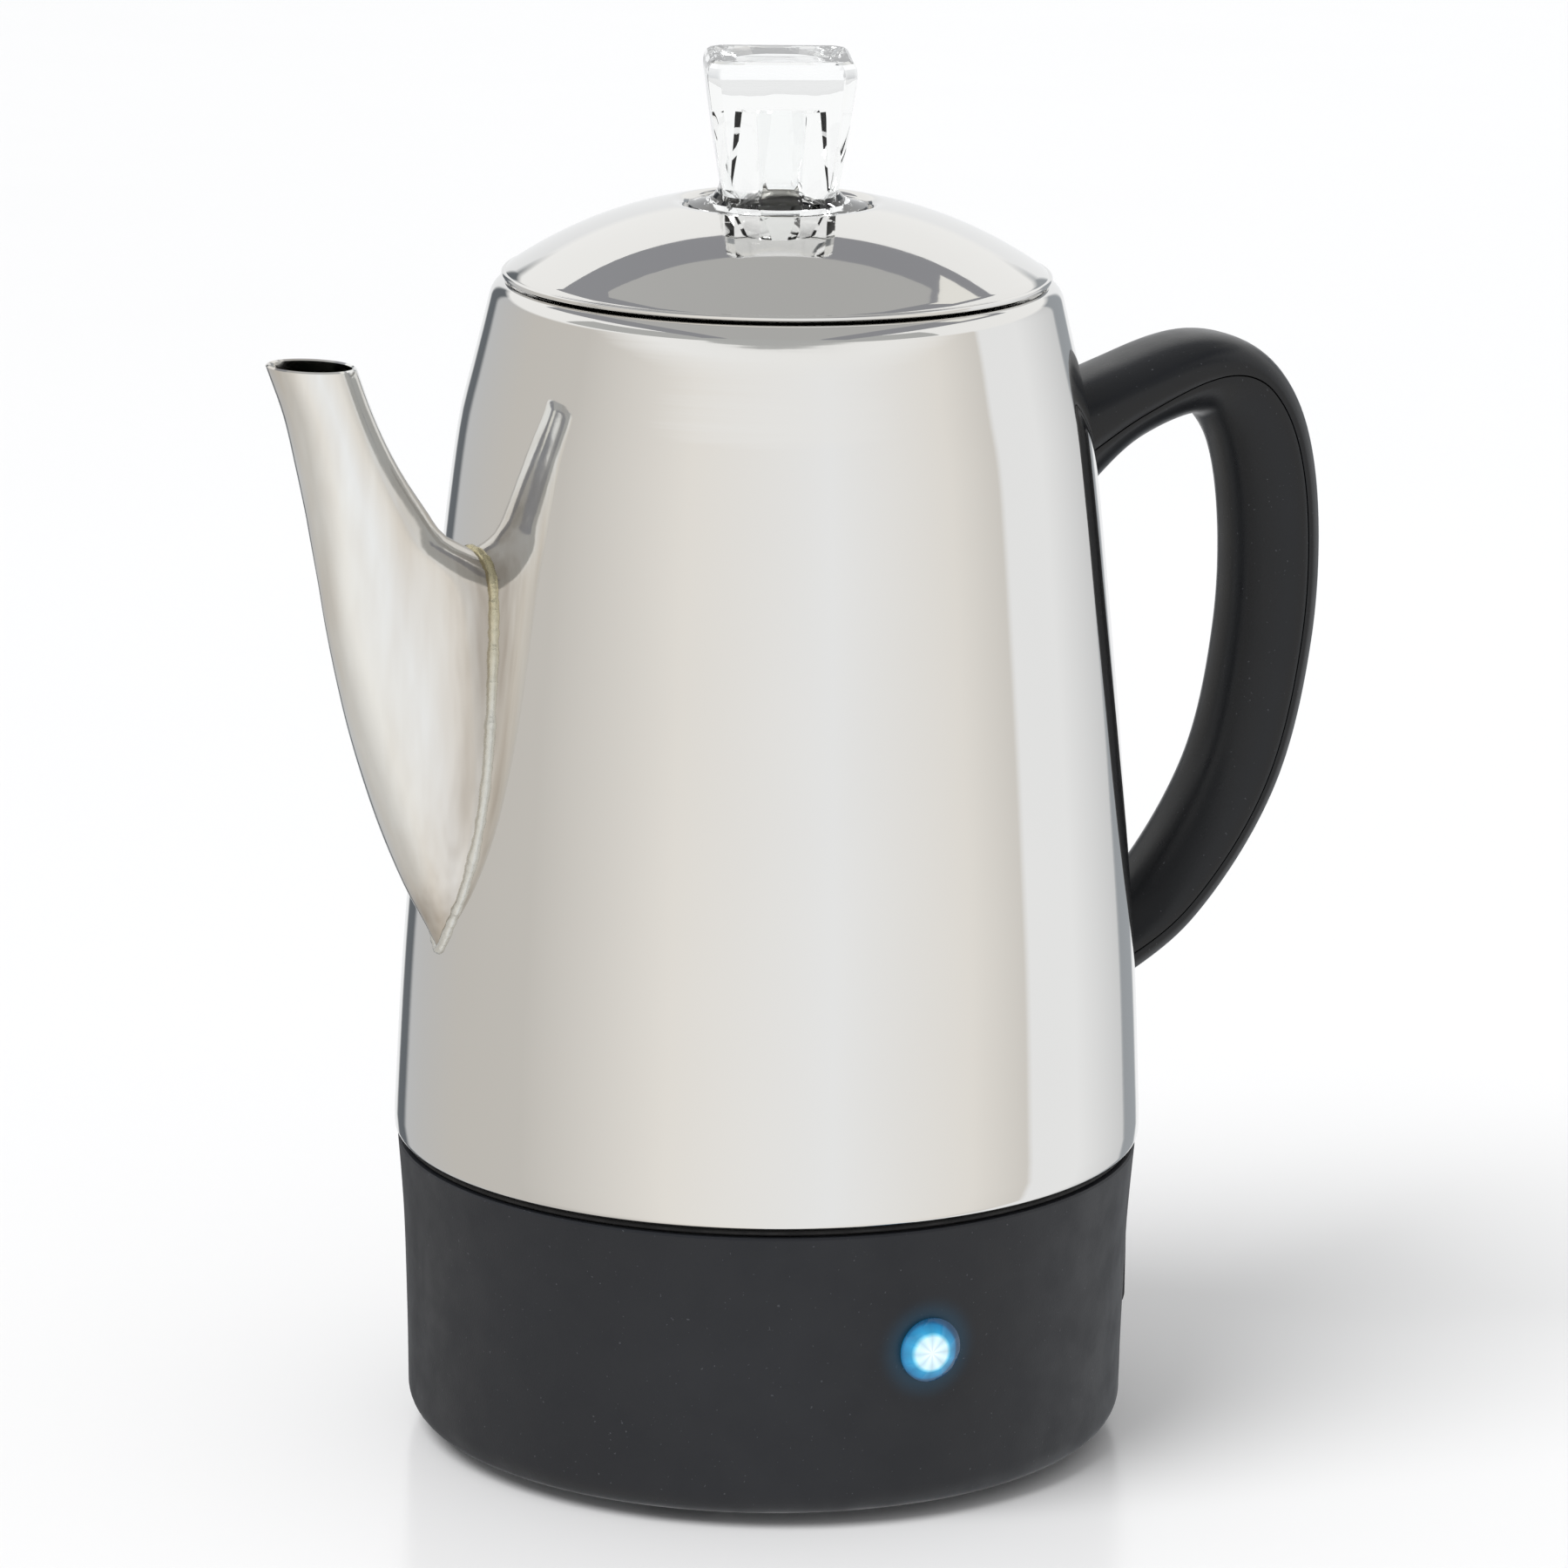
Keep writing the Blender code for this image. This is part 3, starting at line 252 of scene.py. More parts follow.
def moulded_plastic(name, colour, lighter, roughness, grain, grain_depth):
    """Moulded plastic: eroded grain, a few pale specks of dust, faint clouding."""
    made = Surface(name, colour, roughness, Specular_IOR_Level=0.35)
    clouds = made.ramp(made.noise(22, 3), [(0.3, colour), (0.7, lighter)])
    specks = made.ramp(made.noise(1500, 1), [(0.74, 0.0), (0.80, 0.30)])
    mix = made.tree.nodes.new("ShaderNodeMix")
    mix.data_type = "RGBA"
    made.link(specks, mix.inputs["Factor"])
    made.link(clouds, mix.inputs["A"])
    mix.inputs["B"].default_value = srgb(112, 114, 120)
    made.link(mix.outputs["Result"], made.shader.inputs["Base Color"])
    made.rough(made.noise(120, 3), roughness * 0.9, roughness * 1.12)
    made.bump(made.noise(grain, 2), 0.25, grain_depth)
    return made


def base_plastic():
    """The base's plastic, with a painted glow round the lens: the plastic itself emits the lamp's faint light.
    """
    made = moulded_plastic("base_plastic", srgb(30, 32, 37), srgb(35, 37, 42), 0.50, 2600, 0.0001)
    spread = made.tree.nodes.new("ShaderNodeVectorMath")
    spread.operation = "DISTANCE"
    made.link(made.place, spread.inputs[0])
    spread.inputs[1].default_value = LIGHT_AT
    reach = made.tree.nodes.new("ShaderNodeMapRange")
    reach.interpolation_type = "SMOOTHERSTEP"
    reach.inputs["From Min"].default_value = 0.0050
    reach.inputs["From Max"].default_value = 0.0110
    reach.inputs["To Min"].default_value = 0.06
    reach.inputs["To Max"].default_value = 0.0
    made.link(spread.outputs["Value"], reach.inputs["Value"])
    # Painted light: the plastic emits cyan round the lens, standing in for the lamp's light falling on it.
    made.shader.inputs["Emission Color"].default_value = srgb(40, 170, 225)
    made.link(reach.outputs["Result"], made.shader.inputs["Emission Strength"])
    return made.material


def rubber():
    made = Surface("rubber", srgb(28, 28, 29), 0.8)
    made.rough(made.noise(300, 3), 0.68, 0.9)
    made.bump(made.noise(2200, 2), 0.3, 0.0001)
    return made.material


def clear_glass():
    """Pressed glass with faint ripples and the mould's fine waviness."""
    made = Surface("clear_glass", (0.985, 0.995, 0.993, 1), 0.0, Transmission_Weight=1.0, IOR=1.50)
    made.rough(made.noise(60, 2), 0.0, 0.012)
    made.bump(made.noise(110, 2), 0.10, 0.0006)
    return made.material


def jewel():
    """The lit lens: a white table, pale facets, then a blue ring that is dark at its rim. The facets'
    alternating brightness is painted facet shading.
    """
    made = Surface("blue_lens", srgb(10, 70, 110), 0.08, Transmission_Weight=0.2, IOR=1.49)
    node = made.tree.nodes.new
    parts, level = node("ShaderNodeSeparateXYZ"), node("ShaderNodeCombineXYZ")
    made.link(made.place, parts.inputs["Vector"])
    made.link(parts.outputs["X"], level.inputs["X"])
    made.link(parts.outputs["Z"], level.inputs["Y"])
    centred = node("ShaderNodeVectorMath")
    centred.operation = "SUBTRACT"
    made.link(level.outputs["Vector"], centred.inputs[0])
    centred.inputs[1].default_value = (LIGHT_AT.x - 0.0007, LAMP_Z, 0)
    spread = node("ShaderNodeVectorMath")
    spread.operation = "LENGTH"
    made.link(centred.outputs["Vector"], spread.inputs[0])
    reach = node("ShaderNodeMapRange")
    reach.inputs["From Max"].default_value = 0.0060
    made.link(spread.outputs["Value"], reach.inputs["Value"])
    glow = made.ramp(reach.outputs["Result"], [(0.0, srgb(246, 252, 251)), (0.50, srgb(214, 240, 243)),
                                               (0.58, srgb(120, 200, 222)), (0.64, srgb(40, 140, 180)),
                                               (0.84, srgb(24, 110, 150)), (0.92, srgb(8, 48, 68)),
                                               (1.0, srgb(5, 24, 34))])
    made.link(glow, made.shader.inputs["Emission Color"])
    # Painted shading: the emission grows stronger and weaker by turns round the lens, standing in for facets
    # that catch the light differently.
    turn, eighths = node("ShaderNodeTexGradient"), node("ShaderNodeMath")
    turn.gradient_type = "RADIAL"
    made.link(centred.outputs["Vector"], turn.inputs["Vector"])
    eighths.operation = "PINGPONG"
    made.link(turn.outputs["Fac"], eighths.inputs[0])
    eighths.inputs[1].default_value = 1 / 16
    facets = node("ShaderNodeMapRange")
    facets.inputs["From Max"].default_value = 1 / 16
    facets.inputs["To Min"].default_value = 0.80
    facets.inputs["To Max"].default_value = 1.12
    made.link(eighths.outputs["Value"], facets.inputs["Value"])
    made.link(facets.outputs["Result"], made.shader.inputs["Emission Strength"])
    made.bump(made.noise(700, 1), 0.2, 0.0003)
    return made.material


def sleeve(name, colour, darker):
    """Insulation with a fine weave."""
    made = Surface(name, colour, 0.6)
    made.colour(made.noise(1800, 2), [(0.35, darker), (0.65, colour)])
    made.bump(made.noise(2600, 2), 0.3, 0.0001)
    return made.material


FINISH = {
    "polished_steel": polished_steel(),
    "satin_steel": satin_steel(),
    "solder": solder(),
    "plain_steel": plain_steel("plain_steel", srgb(208, 206, 200), 0.20),
    "plated_steel": plain_steel("plated_steel", srgb(190, 190, 188), 0.34),
    "brass": plain_steel("brass", srgb(205, 178, 118), 0.25),
    "aluminium": aluminium(),
    "base_plastic": base_plastic(),
    "handle_plastic": moulded_plastic("handle_plastic", srgb(18, 20, 24), srgb(22, 24, 28), 0.30, 1700,
                                      0.00008).material,
    "black_rubber": rubber(),
    "clear_glass": clear_glass(),
    "blue_lens": jewel(),
    "pale_insulator": sleeve("pale_insulator", srgb(226, 220, 205), srgb(206, 199, 184)),
    "red_insulation": sleeve("red_insulation", srgb(158, 32, 26), srgb(128, 22, 18)),
    "white_insulation": sleeve("white_insulation", srgb(226, 224, 216), srgb(200, 197, 187)),
}


# ---- Mesh helpers -------------------------------------------------------------------------------------------
def add(name, bm, finish, body="pot", stands_for=(), smooth_below=38):
    """Makes the bmesh a piece: on the pot's axis, in its finish, on its body, in place of CAD nodes."""
    bmesh.ops.recalc_face_normals(bm, faces=bm.faces)
    mesh = bpy.data.meshes.new(name)
    bm.to_mesh(mesh)
    bm.free()
    mesh.transform(TO_AXIS)
    mesh.shade_smooth()
    mesh.set_sharp_from_angle(angle=math.radians(smooth_below))
    mesh.materials.append(FINISH[finish])
    made = bpy.data.objects.new(name, mesh)
    bpy.context.scene.collection.objects.link(made)
    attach(made, body)
    if stands_for:
        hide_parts(*stands_for)
    return made


def cut(target, bm, smooth_below=38, operation="DIFFERENCE"):
    """Takes the bmesh out of a piece, or adds it with "UNION", and applies the change."""
    bmesh.ops.recalc_face_normals(bm, faces=bm.faces)
    mesh = bpy.data.meshes.new("cutter")
    bm.to_mesh(mesh)
    bm.free()
    mesh.transform(TO_AXIS)
    tool = bpy.data.objects.new("cutter", mesh)
    bpy.context.scene.collection.objects.link(tool)
    change = target.modifiers.new("cut", "BOOLEAN")
    change.operation = operation
    change.solver = "EXACT"
    change.object = tool
    bake(target)
    bpy.data.objects.remove(tool)
    target.data.set_sharp_from_angle(angle=math.radians(smooth_below))


def bake(target):
    """Applies a piece's modifiers."""
    bpy.context.view_layer.update()
    shown = target.evaluated_get(bpy.context.evaluated_depsgraph_get())
    done = bpy.data.meshes.new_from_object(shown)
    target.modifiers.clear()
    target.data = done


def bridge(bm, first, second):
    count = len(first)
    for i in range(count):
        j = (i + 1) % count
        bm.faces.new((first[i], first[j], second[j], second[i]))


def lathe(profile, segments=ROUND):
    """Turns a profile of (radius, z) about Z. One whose two ends are at radius 0 closes there, any other is a
    closed outline clear of the axis."""
    bm = bmesh.new()
    solid = profile[0][0] == 0 and profile[-1][0] == 0
    rings = []
    for radius, z in profile[1:-1] if solid else profile:
        turns = [2 * math.pi * k / segments for k in range(segments)]
        rings.append([bm.verts.new((radius * math.cos(t), radius * math.sin(t), z)) for t in turns])
    for lower, upper in zip(rings, rings[1:]):
        bridge(bm, lower, upper)
    if not solid:
        bridge(bm, rings[-1], rings[0])
        return bm
    for ring, (_, z) in ((rings[0], profile[0]), (rings[-1], profile[-1])):
        pole = bm.verts.new((0, 0, z))
        for i in range(segments):
            bm.faces.new((ring[i], ring[(i + 1) % segments], pole))
    return bm


def loft(rings, caps=True):
    bm = bmesh.new()
    made = [[bm.verts.new(p) for p in ring] for ring in rings]
    for lower, upper in zip(made, made[1:]):
        bridge(bm, lower, upper)
    if caps:
        bm.faces.new(made[0])
        bm.faces.new(made[-1])
    else:
        bridge(bm, made[-1], made[0])
    return bm


def move(bm, matrix):
    bmesh.ops.transform(bm, matrix=matrix, verts=bm.verts)
    return bm


def pointing(direction, at):
    turn = Vector(direction).to_track_quat("Z", "Y").to_matrix().to_4x4()
    return Matrix.Translation(at) @ turn


def rod(radius, length, segments=32):
    return lathe([(0, 0), (radius, 0), (radius, length), (0, length)], segments)


def join(parts):
    """One bmesh from several."""
    whole = bmesh.new()
    for part in parts:
        spare = bpy.data.meshes.new("spare")
        part.to_mesh(spare)
        part.free()
        whole.from_mesh(spare)
        bpy.data.meshes.remove(spare)
    return whole


def arc(centre, radius, start, end, count):
    angles = [math.radians(start + (end - start) * k / (count - 1)) for k in range(count)]
    return [(centre[0] + radius * math.cos(a), centre[1] + radius * math.sin(a)) for a in angles]


def polar(radius, angle, z=0.0):
    return Vector((radius * math.cos(angle), radius * math.sin(angle), z))


def curve_at(points, share):
    """A point of the smooth curve through the given points, evenly in parameter."""
    place = share * (len(points) - 1)
    i = min(int(place), len(points) - 2)
    t = place - i
    ends = [2 * points[0] - points[1], *points, 2 * points[-1] - points[-2]]
    a, b, c, d = ends[i : i + 4]
    return 0.5 * (2 * b + (c - a) * t + (2 * a - 5 * b + 4 * c - d) * t**2 + (3 * b - a - 3 * c + d) * t**3)


def eased(table, x):
    """Reads a smooth curve through rows of (x, values...) at x: a cubic with the rows' own slopes."""
    rows = [row[1:] for row in table]
    xs = [row[0] for row in table]
    if x <= xs[0]:
        return list(rows[0])
    if x >= xs[-1]:
        return list(rows[-1])
    i = max(k for k in range(len(xs) - 1) if xs[k] <= x)
    step = xs[i + 1] - xs[i]
    t = (x - xs[i]) / step
    result = []
    for n in range(len(rows[0])):
        def slope(k):
            low, high = max(0, k - 1), min(len(xs) - 1, k + 1)
            return (rows[high][n] - rows[low][n]) / (xs[high] - xs[low])
        y0, y1, m0, m1 = rows[i][n], rows[i + 1][n], slope(i) * step, slope(i + 1) * step
        result.append((2 * t**3 - 3 * t**2 + 1) * y0 + (t**3 - 2 * t**2 + t) * m0
                      + (3 * t**2 - 2 * t**3) * y1 + (t**3 - t**2) * m1)
    return result


# ---- Vessel -------------------------------------------------------------------------------------------------
WALL_LINE = [(0.0625, 0.0707), (0.0850, 0.0696), (0.1000, 0.0686), (0.1200, 0.06685), (0.1400, 0.0650),
             (0.1600, 0.0629), (0.1800, 0.0607), (0.1950, 0.0586), (0.2050, 0.05618), (0.2120, 0.05446)]
SHOULDER, SHOULDER_R = (0.04924, 0.2166), 0.0040
POUR_WIDTH, POUR_LOW_Z, POUR_HIGH_Z = 0.0130, 0.1250, 0.1660


def wall_radius(z):
    return eased(WALL_LINE, z)[0]


def make_vessel():
    rise = [0.0625 + (0.2120 - 0.0625) * k / 40 for k in range(41)]
    shoulder = arc(SHOULDER, SHOULDER_R, 14, 90, 9)
    lower_edge = arc((0.0694, 0.0594), 0.0013, -90, 0, 5)
    outside = [
        (0, FLOOR_Z - WELL_DEPTH),
        (WELL_R - 0.0015, FLOOR_Z - WELL_DEPTH),
        (WELL_R, FLOOR_Z - WELL_DEPTH + 0.0015),
        (WELL_R + 0.0008, FLOOR_Z),
        (SKIRT_R - 0.0025, FLOOR_Z),
        (SKIRT_R, FLOOR_Z + 0.0025),
        (SKIRT_R, SHELL_BOTTOM_Z),
        *lower_edge,
        *[(wall_radius(z), z) for z in rise],
        *shoulder,
        (MOUTH_R + 0.0009, SHELL_TOP_Z - 0.0003),
        (MOUTH_R + 0.0002, SHELL_TOP_Z - 0.0012),
        (MOUTH_R, SHELL_TOP_Z - 0.0024),
        (MOUTH_R, LIP_BOTTOM_Z),
    ]
    inside = [
        (MOUTH_R + SHEET, LIP_BOTTOM_Z),
        (MOUTH_R + SHEET, SHELL_TOP_Z - 0.0020),
        *arc(SHOULDER, SHOULDER_R - SHEET, 90, 14, 9),
        *[(wall_radius(z) - SHEET, z) for z in reversed(rise)],
        (SKIRT_R + 0.0024, SHELL_BOTTOM_Z + SHEET),
        (SKIRT_R - SHEET, SHELL_BOTTOM_Z + SHEET),
        (SKIRT_R - SHEET, FLOOR_Z + 0.0028),
        (SKIRT_R - 0.0028, FLOOR_Z + SHEET),
        (WELL_R + 0.0002, FLOOR_Z + SHEET),
        (WELL_R - SHEET, FLOOR_Z - WELL_DEPTH + 0.0018),
        (WELL_R - 0.0018, FLOOR_Z - WELL_DEPTH + SHEET),
        (0, FLOOR_Z - WELL_DEPTH + SHEET),
    ]
    vessel = add("vessel_shell", lathe(outside + inside), "polished_steel", stands_for=["vessel"])
    low, high = POUR_LOW_Z + POUR_WIDTH / 2, POUR_HIGH_Z - POUR_WIDTH / 2
    outline = arc((0, high), POUR_WIDTH / 2, 0, 180, 25) + arc((0, low), POUR_WIDTH / 2, 180, 360, 25)
    cut(vessel, loft([[(x, y, z) for y, z in outline] for x in (-0.075, -0.050)]))


def envelope(extra, low=0.060, high=0.2118):
    """The vessel's outer form, grown by extra."""
    steps = 60
    rise = [low + (high - low) * k / steps for k in range(steps + 1)]
    return lathe([(0, low), *[(wall_radius(z) + extra, z) for z in rise], (0, high)], 192)


# ---- Spout and the bead round its root ----------------------------------------------------------------------
# Level sections: z, the outer ridge's x, the inner edge's x, half width.
SPOUT_SECTIONS = [
    (0.0985, -0.0680, -0.0590, 0.0016),
    (0.1050, -0.0713, -0.0560, 0.0046),
    (0.1120, -0.0750, -0.0540, 0.0078),
    (0.1225, -0.0795, -0.0520, 0.0106),
    (0.1326, -0.0831, -0.0500, 0.0118),
    (0.1427, -0.0862, -0.0500, 0.0119),
    (0.1527, -0.0887, -0.0500, 0.0113),
    (0.1625, -0.0908, -0.0510, 0.0105),
    (0.1700, -0.0921, -0.0550, 0.0099),
    (0.1745, -0.0929, -0.0620, 0.0096),
    (0.1780, -0.0935, -0.0680, 0.0094),
    (0.1830, -0.0944, -0.0718, 0.0092),
    (0.1919, -0.0963, -0.0776, 0.0090),
    (0.2010, -0.0985, -0.0821, 0.0087),
    (0.2104, -0.1020, -0.0856, 0.0082),
]
SPOUT_ROWS, SPOUT_TURNS = 72, 64
TILT_START_Z = 0.1745
MOUTH_TILT = 0.045
TINT_AND_REFLECTION_REACH = 0.006  # how far from the wall the tint left by heating and the painted dark reflection reach
TINT_AND_REFLECTION_START_Z, TINT_AND_REFLECTION_FULL_Z = 0.112, 0.152


def spout_point(z, turn, inset=0.0):
    """A point of the spout's surface: turn 0 is its outer ridge, pi its inner edge."""
    ridge, inner, half = eased(SPOUT_SECTIONS, z)
    centre, length = (ridge + inner) / 2, (inner - ridge) / 2 - inset
    tilt = MOUTH_TILT * max(0.0, z - TILT_START_Z) / (SPOUT_SECTIONS[-1][0] - TILT_START_Z)
    x = centre - length * math.cos(turn)
    return Vector((x, max(half - inset, 0.0003) * math.sin(turn), z - tilt * (x - centre)))


def make_spout():
    low, high = SPOUT_SECTIONS[0][0], SPOUT_SECTIONS[-1][0]
    heights = [low + (high - low) * k / SPOUT_ROWS for k in range(SPOUT_ROWS + 1)]
    turns = [2 * math.pi * k / SPOUT_TURNS for k in range(SPOUT_TURNS)]
    outer = [[spout_point(z, t) for t in turns] for z in heights]
    lip = [[spout_point(high, t, SHEET / 2) + Vector((0, 0, 0.0003)) for t in turns]]
    inner = [[spout_point(z, t, SHEET) for t in turns] for z in reversed(heights[3:])]
    spout = add("spout_shell", loft([*outer, *lip, *inner]), "satin_steel", stands_for=["spout"])
    cut(spout, envelope(GAP))
    # Painted reflection: a share per point, strongest at the wall and up the spout. The satin steel turns it
    # into heating tint and a painted dark reflection.
    heat = spout.data.attributes.new("heat", "FLOAT", "POINT")
    for vertex, value in zip(spout.data.vertices, heat.data):
        x, y, z = vertex.co
        nearness = 1 - (math.hypot(x - AXIS_X, y) - wall_radius(z)) / TINT_AND_REFLECTION_REACH
        height_share = (z - TINT_AND_REFLECTION_START_Z) / (TINT_AND_REFLECTION_FULL_Z - TINT_AND_REFLECTION_START_Z)
        value.value = min(1.0, max(0.0, nearness)) * min(1.0, max(0.0, height_share))


def make_bead():
    """A lumpy bead along the line where the spout meets the wall."""
    line = []
    for k in range(181):
        turn = math.pi * k / 180
        low, high = SPOUT_SECTIONS[0][0], 0.1800
        for _ in range(30):
            z = (low + high) / 2
            p = spout_point(z, turn)
            inside = math.hypot(p.x, p.y) < wall_radius(p.z)
            if inside:
                low = z
            else:
                high = z
        line.append(spout_point(z, turn))
    half = even(line, 110)
    path = half + [Vector((p.x, -p.y, p.z)) for p in reversed(half[:-1])]
    rings = []
    for i, p in enumerate(path):
        before, after = path[i - 1], path[(i + 1) % len(path)]
        way = (after - before).normalized()
        outward = Vector((p.x, p.y, 0)).normalized()
        side = way.cross(outward).normalized()
        lump = noise.noise(p * 900) * 0.00026 + noise.noise(p * 350) * 0.00022
        rings.append([p + (outward * math.cos(a) + side * math.sin(a)) * (0.0010 + lump)
                      for a in [2 * math.pi * n / 12 for n in range(12)]])
    bm = bmesh.new()
    made = [[bm.verts.new(p) for p in ring] for ring in rings]
    for i in range(len(made)):
        bridge(bm, made[i - 1], made[i])
    add("spout_bead", bm, "solder")


def even(line, count):
    """The same line with points at even distances."""
    lengths = [0.0]
    for a, b in zip(line, line[1:]):
        lengths.append(lengths[-1] + (b - a).length)
    result, i = [], 0
    for k in range(count):
        want = lengths[-1] * k / (count - 1)
        while i < len(lengths) - 2 and lengths[i + 1] < want:
            i += 1
        step = lengths[i + 1] - lengths[i] or 1
        result.append(line[i].lerp(line[i + 1], (want - lengths[i]) / step))
    return result


# ---- Lid ----------------------------------------------------------------------------------------------------
def dome_z(radius, thickness=0.0):
    """Height of the dome at a radius, or of a surface that lies a thickness below it."""
    share = radius / LID_RIM_R
    slope = DOME_POWER * DOME_DROP / LID_RIM_R * share ** (DOME_POWER - 1)
    return DOME_TOP_Z - DOME_DROP * share**DOME_POWER - thickness * math.hypot(1, slope)


def sector(inner, outer, low, high, middle, half):
    angles = [middle - half + 2 * half * k / 12 for k in range(13)]
    rim = [polar(outer, a) for a in angles] + [polar(inner, a) for a in reversed(angles)]
    return loft([[(p.x, p.y, z) for p in rim] for z in (low, high)])


def make_lid():
    """The dome with its rolled rim and the recess that takes the knob's flange."""
    steps, rim_r = 28, 0.00055
    edge = LID_RIM_R - 0.0009
    radii = [SEAT_EDGE_R + (edge - SEAT_EDGE_R) * k / steps for k in range(steps + 1)]
    recess = [(KNOB_HOLE_R, SEAT_Z), (SEAT_R - 0.0008, SEAT_Z), (SEAT_R - 0.0003, SEAT_Z + 0.0002),
              (SEAT_R, SEAT_Z + 0.0007), (SEAT_R + 0.0001, SEAT_Z + 0.0014),
              (SEAT_R + 0.0003, SEAT_Z + 0.0019), (SEAT_R + 0.0006, SEAT_Z + 0.0023),
              (SEAT_R + 0.0012, SEAT_Z + 0.0026)]
    outside = recess + [(r, dome_z(r)) for r in radii]
    rim = arc((LID_RIM_R - rim_r, SHELL_TOP_Z + GAP + rim_r), rim_r, 110, -150, 14)
    inside = [(r, dome_z(r, SHEET)) for r in reversed(radii[:-2])]
    inside += [(SEAT_R + 0.0011, SEAT_Z + 0.0010), (SEAT_R + SHEET, SEAT_Z - 0.0002),
               (SEAT_R - 0.0002, SEAT_Z - SHEET), (KNOB_HOLE_R, SEAT_Z - SHEET)]
    lid = add("lid_dome", lathe(outside + rim + inside), "polished_steel", body="lid", stands_for=["lid"])
    notches = [sector(0.0100, LUG_R + 0.0005, SEAT_Z - 0.003, SEAT_Z + 0.003, math.radians(90 + 180 * side),
                      NOTCH_HALF_ANGLE) for side in (0, 1)]
    cut(lid, join(notches))
    top = [(r, dome_z(r, SHEET) - 0.0005) for r in (0.0395, 0.0410, 0.0425, 0.0440)]
    dome_under = dome_z(COLLAR_R, SHEET)
    bend = [(COLLAR_R - 0.0004, dome_under - 0.0007), (COLLAR_R, dome_under - 0.0012)]
    under = [(r - 0.0001, z - SHEET) for r, z in top[:-1]]
    collar = [*top, *bend, (COLLAR_R, COLLAR_BOTTOM_Z + 0.0003), (COLLAR_R - 0.0004, COLLAR_BOTTOM_Z),
              (COLLAR_R - SHEET, COLLAR_BOTTOM_Z + 0.0003), (COLLAR_R - SHEET, dome_under - 0.0022),
              *reversed(under)]
    add("lid_skirt", lathe(collar), "plain_steel", body="lid", stands_for=["lid_collar"])
    low = SEAT_Z + GAP
    gasket = [(0.0129, low), (0.0152, low), (0.0153, low + 0.0002), (0.0153, low + 0.0007),
              (0.0151, low + 0.0009), (0.0130, low + 0.0009), (0.0129, low + 0.0007)]
    add("knob_seal", lathe(gasket, 96), "black_rubber", body="lid", stands_for=["knob_gasket"])


# ---- Knob ---------------------------------------------------------------------------------------------------
def cavity_ring(apothem, z, cut_share):
    """An octagon whose corners are cut off, by a share from 0 to 1."""
    half_face = math.radians(22.4 - 10 * cut_share)
    corner = apothem / math.cos(half_face)
    corners = [polar(corner, KNOB_TURN + k * math.pi / 4 + side * half_face, z)
               for k in range(9) for side in (-1, 1)]
    ring = []
    for k in range(8):
        start, left, right = corners[2 * k], corners[2 * k + 1], corners[2 * k + 2]
        ring += [start.lerp(left, 0.5 + i / 10) for i in range(5)]
        ring += [left.lerp(right, i / 8) for i in range(8)]
        ring += [right.lerp(corners[2 * k + 3], i / 10) for i in range(5)]
    return ring


def knob_ring(half, z, roundness=0.0):
    """A square with soft cut corners, by half its width, eased towards the circle."""
    segments, softness = 144, 80
    corner_reach = half * (1 + math.tan(KNOB_CORNER)) / math.sqrt(2)
    ring = []
    for k in range(segments):
        angle = 2 * math.pi * k / segments
        off = abs((angle + math.pi / 4) % (math.pi / 2) - math.pi / 4)
        to_face, to_corner = half / math.cos(off), corner_reach / math.cos(math.pi / 4 - off)
        reach = (to_face**-softness + to_corner**-softness) ** (-1 / softness)
        ring.append(polar(reach * (1 - roundness) + half * roundness, angle + KNOB_TURN, z))
    return ring


def make_knob():
    floor = SEAT_Z - 0.0030
    flare = [(0.0106, floor, 1), (0.0111, floor + 0.0004, 1), (0.0113, SEAT_Z + 0.0014, 1),
             (0.0162, SEAT_Z + 0.0014, 1), (0.0166, SEAT_Z + 0.0016, 1), (KNOB_FLANGE_R, SEAT_Z + 0.0020, 1),
             (0.0165, SEAT_Z + 0.0023, 1), (0.0148, SEAT_Z + 0.0026, 1), (0.0133, SEAT_Z + 0.0030, 1),
             (0.0122, SEAT_Z + 0.0037, 0.9), (0.0114, SEAT_Z + 0.0046, 0.7), (0.0109, SEAT_Z + 0.0055, 0.3)]
    walls = [(0.0107, SEAT_Z + 0.0062, 0), (0.0121, 0.2470, 0), (0.0131, 0.2545, 0), (0.0137, 0.2590, 0),
             (0.0137, 0.2600, 0), (0.0135, 0.2610, 0), (0.0130, 0.2618, 0), (0.0124, KNOB_TOP_Z, 0)]
    cavity = [(0.0080, 0.2532, 1), (0.0083, 0.2528, 1), (0.0084, 0.2516, 0.96), (0.0087, 0.2400, 0.2),
              (0.0090, floor, 0.0)]
    rings = [cavity_ring(*row) for row in cavity]
    rings += [knob_ring(*row) for row in flare + walls]
    knob = add("knob_glass", loft(rings), "clear_glass", body="knob", stands_for=["knob"],
               smooth_below=KNOB_SHARP)
    for side in (0, 1):
        lug = sector(0.0104, LUG_R, floor + 0.0002, SEAT_Z - SHEET - GAP, math.radians(180 * side),
                     LUG_HALF_ANGLE)
        cut(knob, lug, KNOB_SHARP, "UNION")


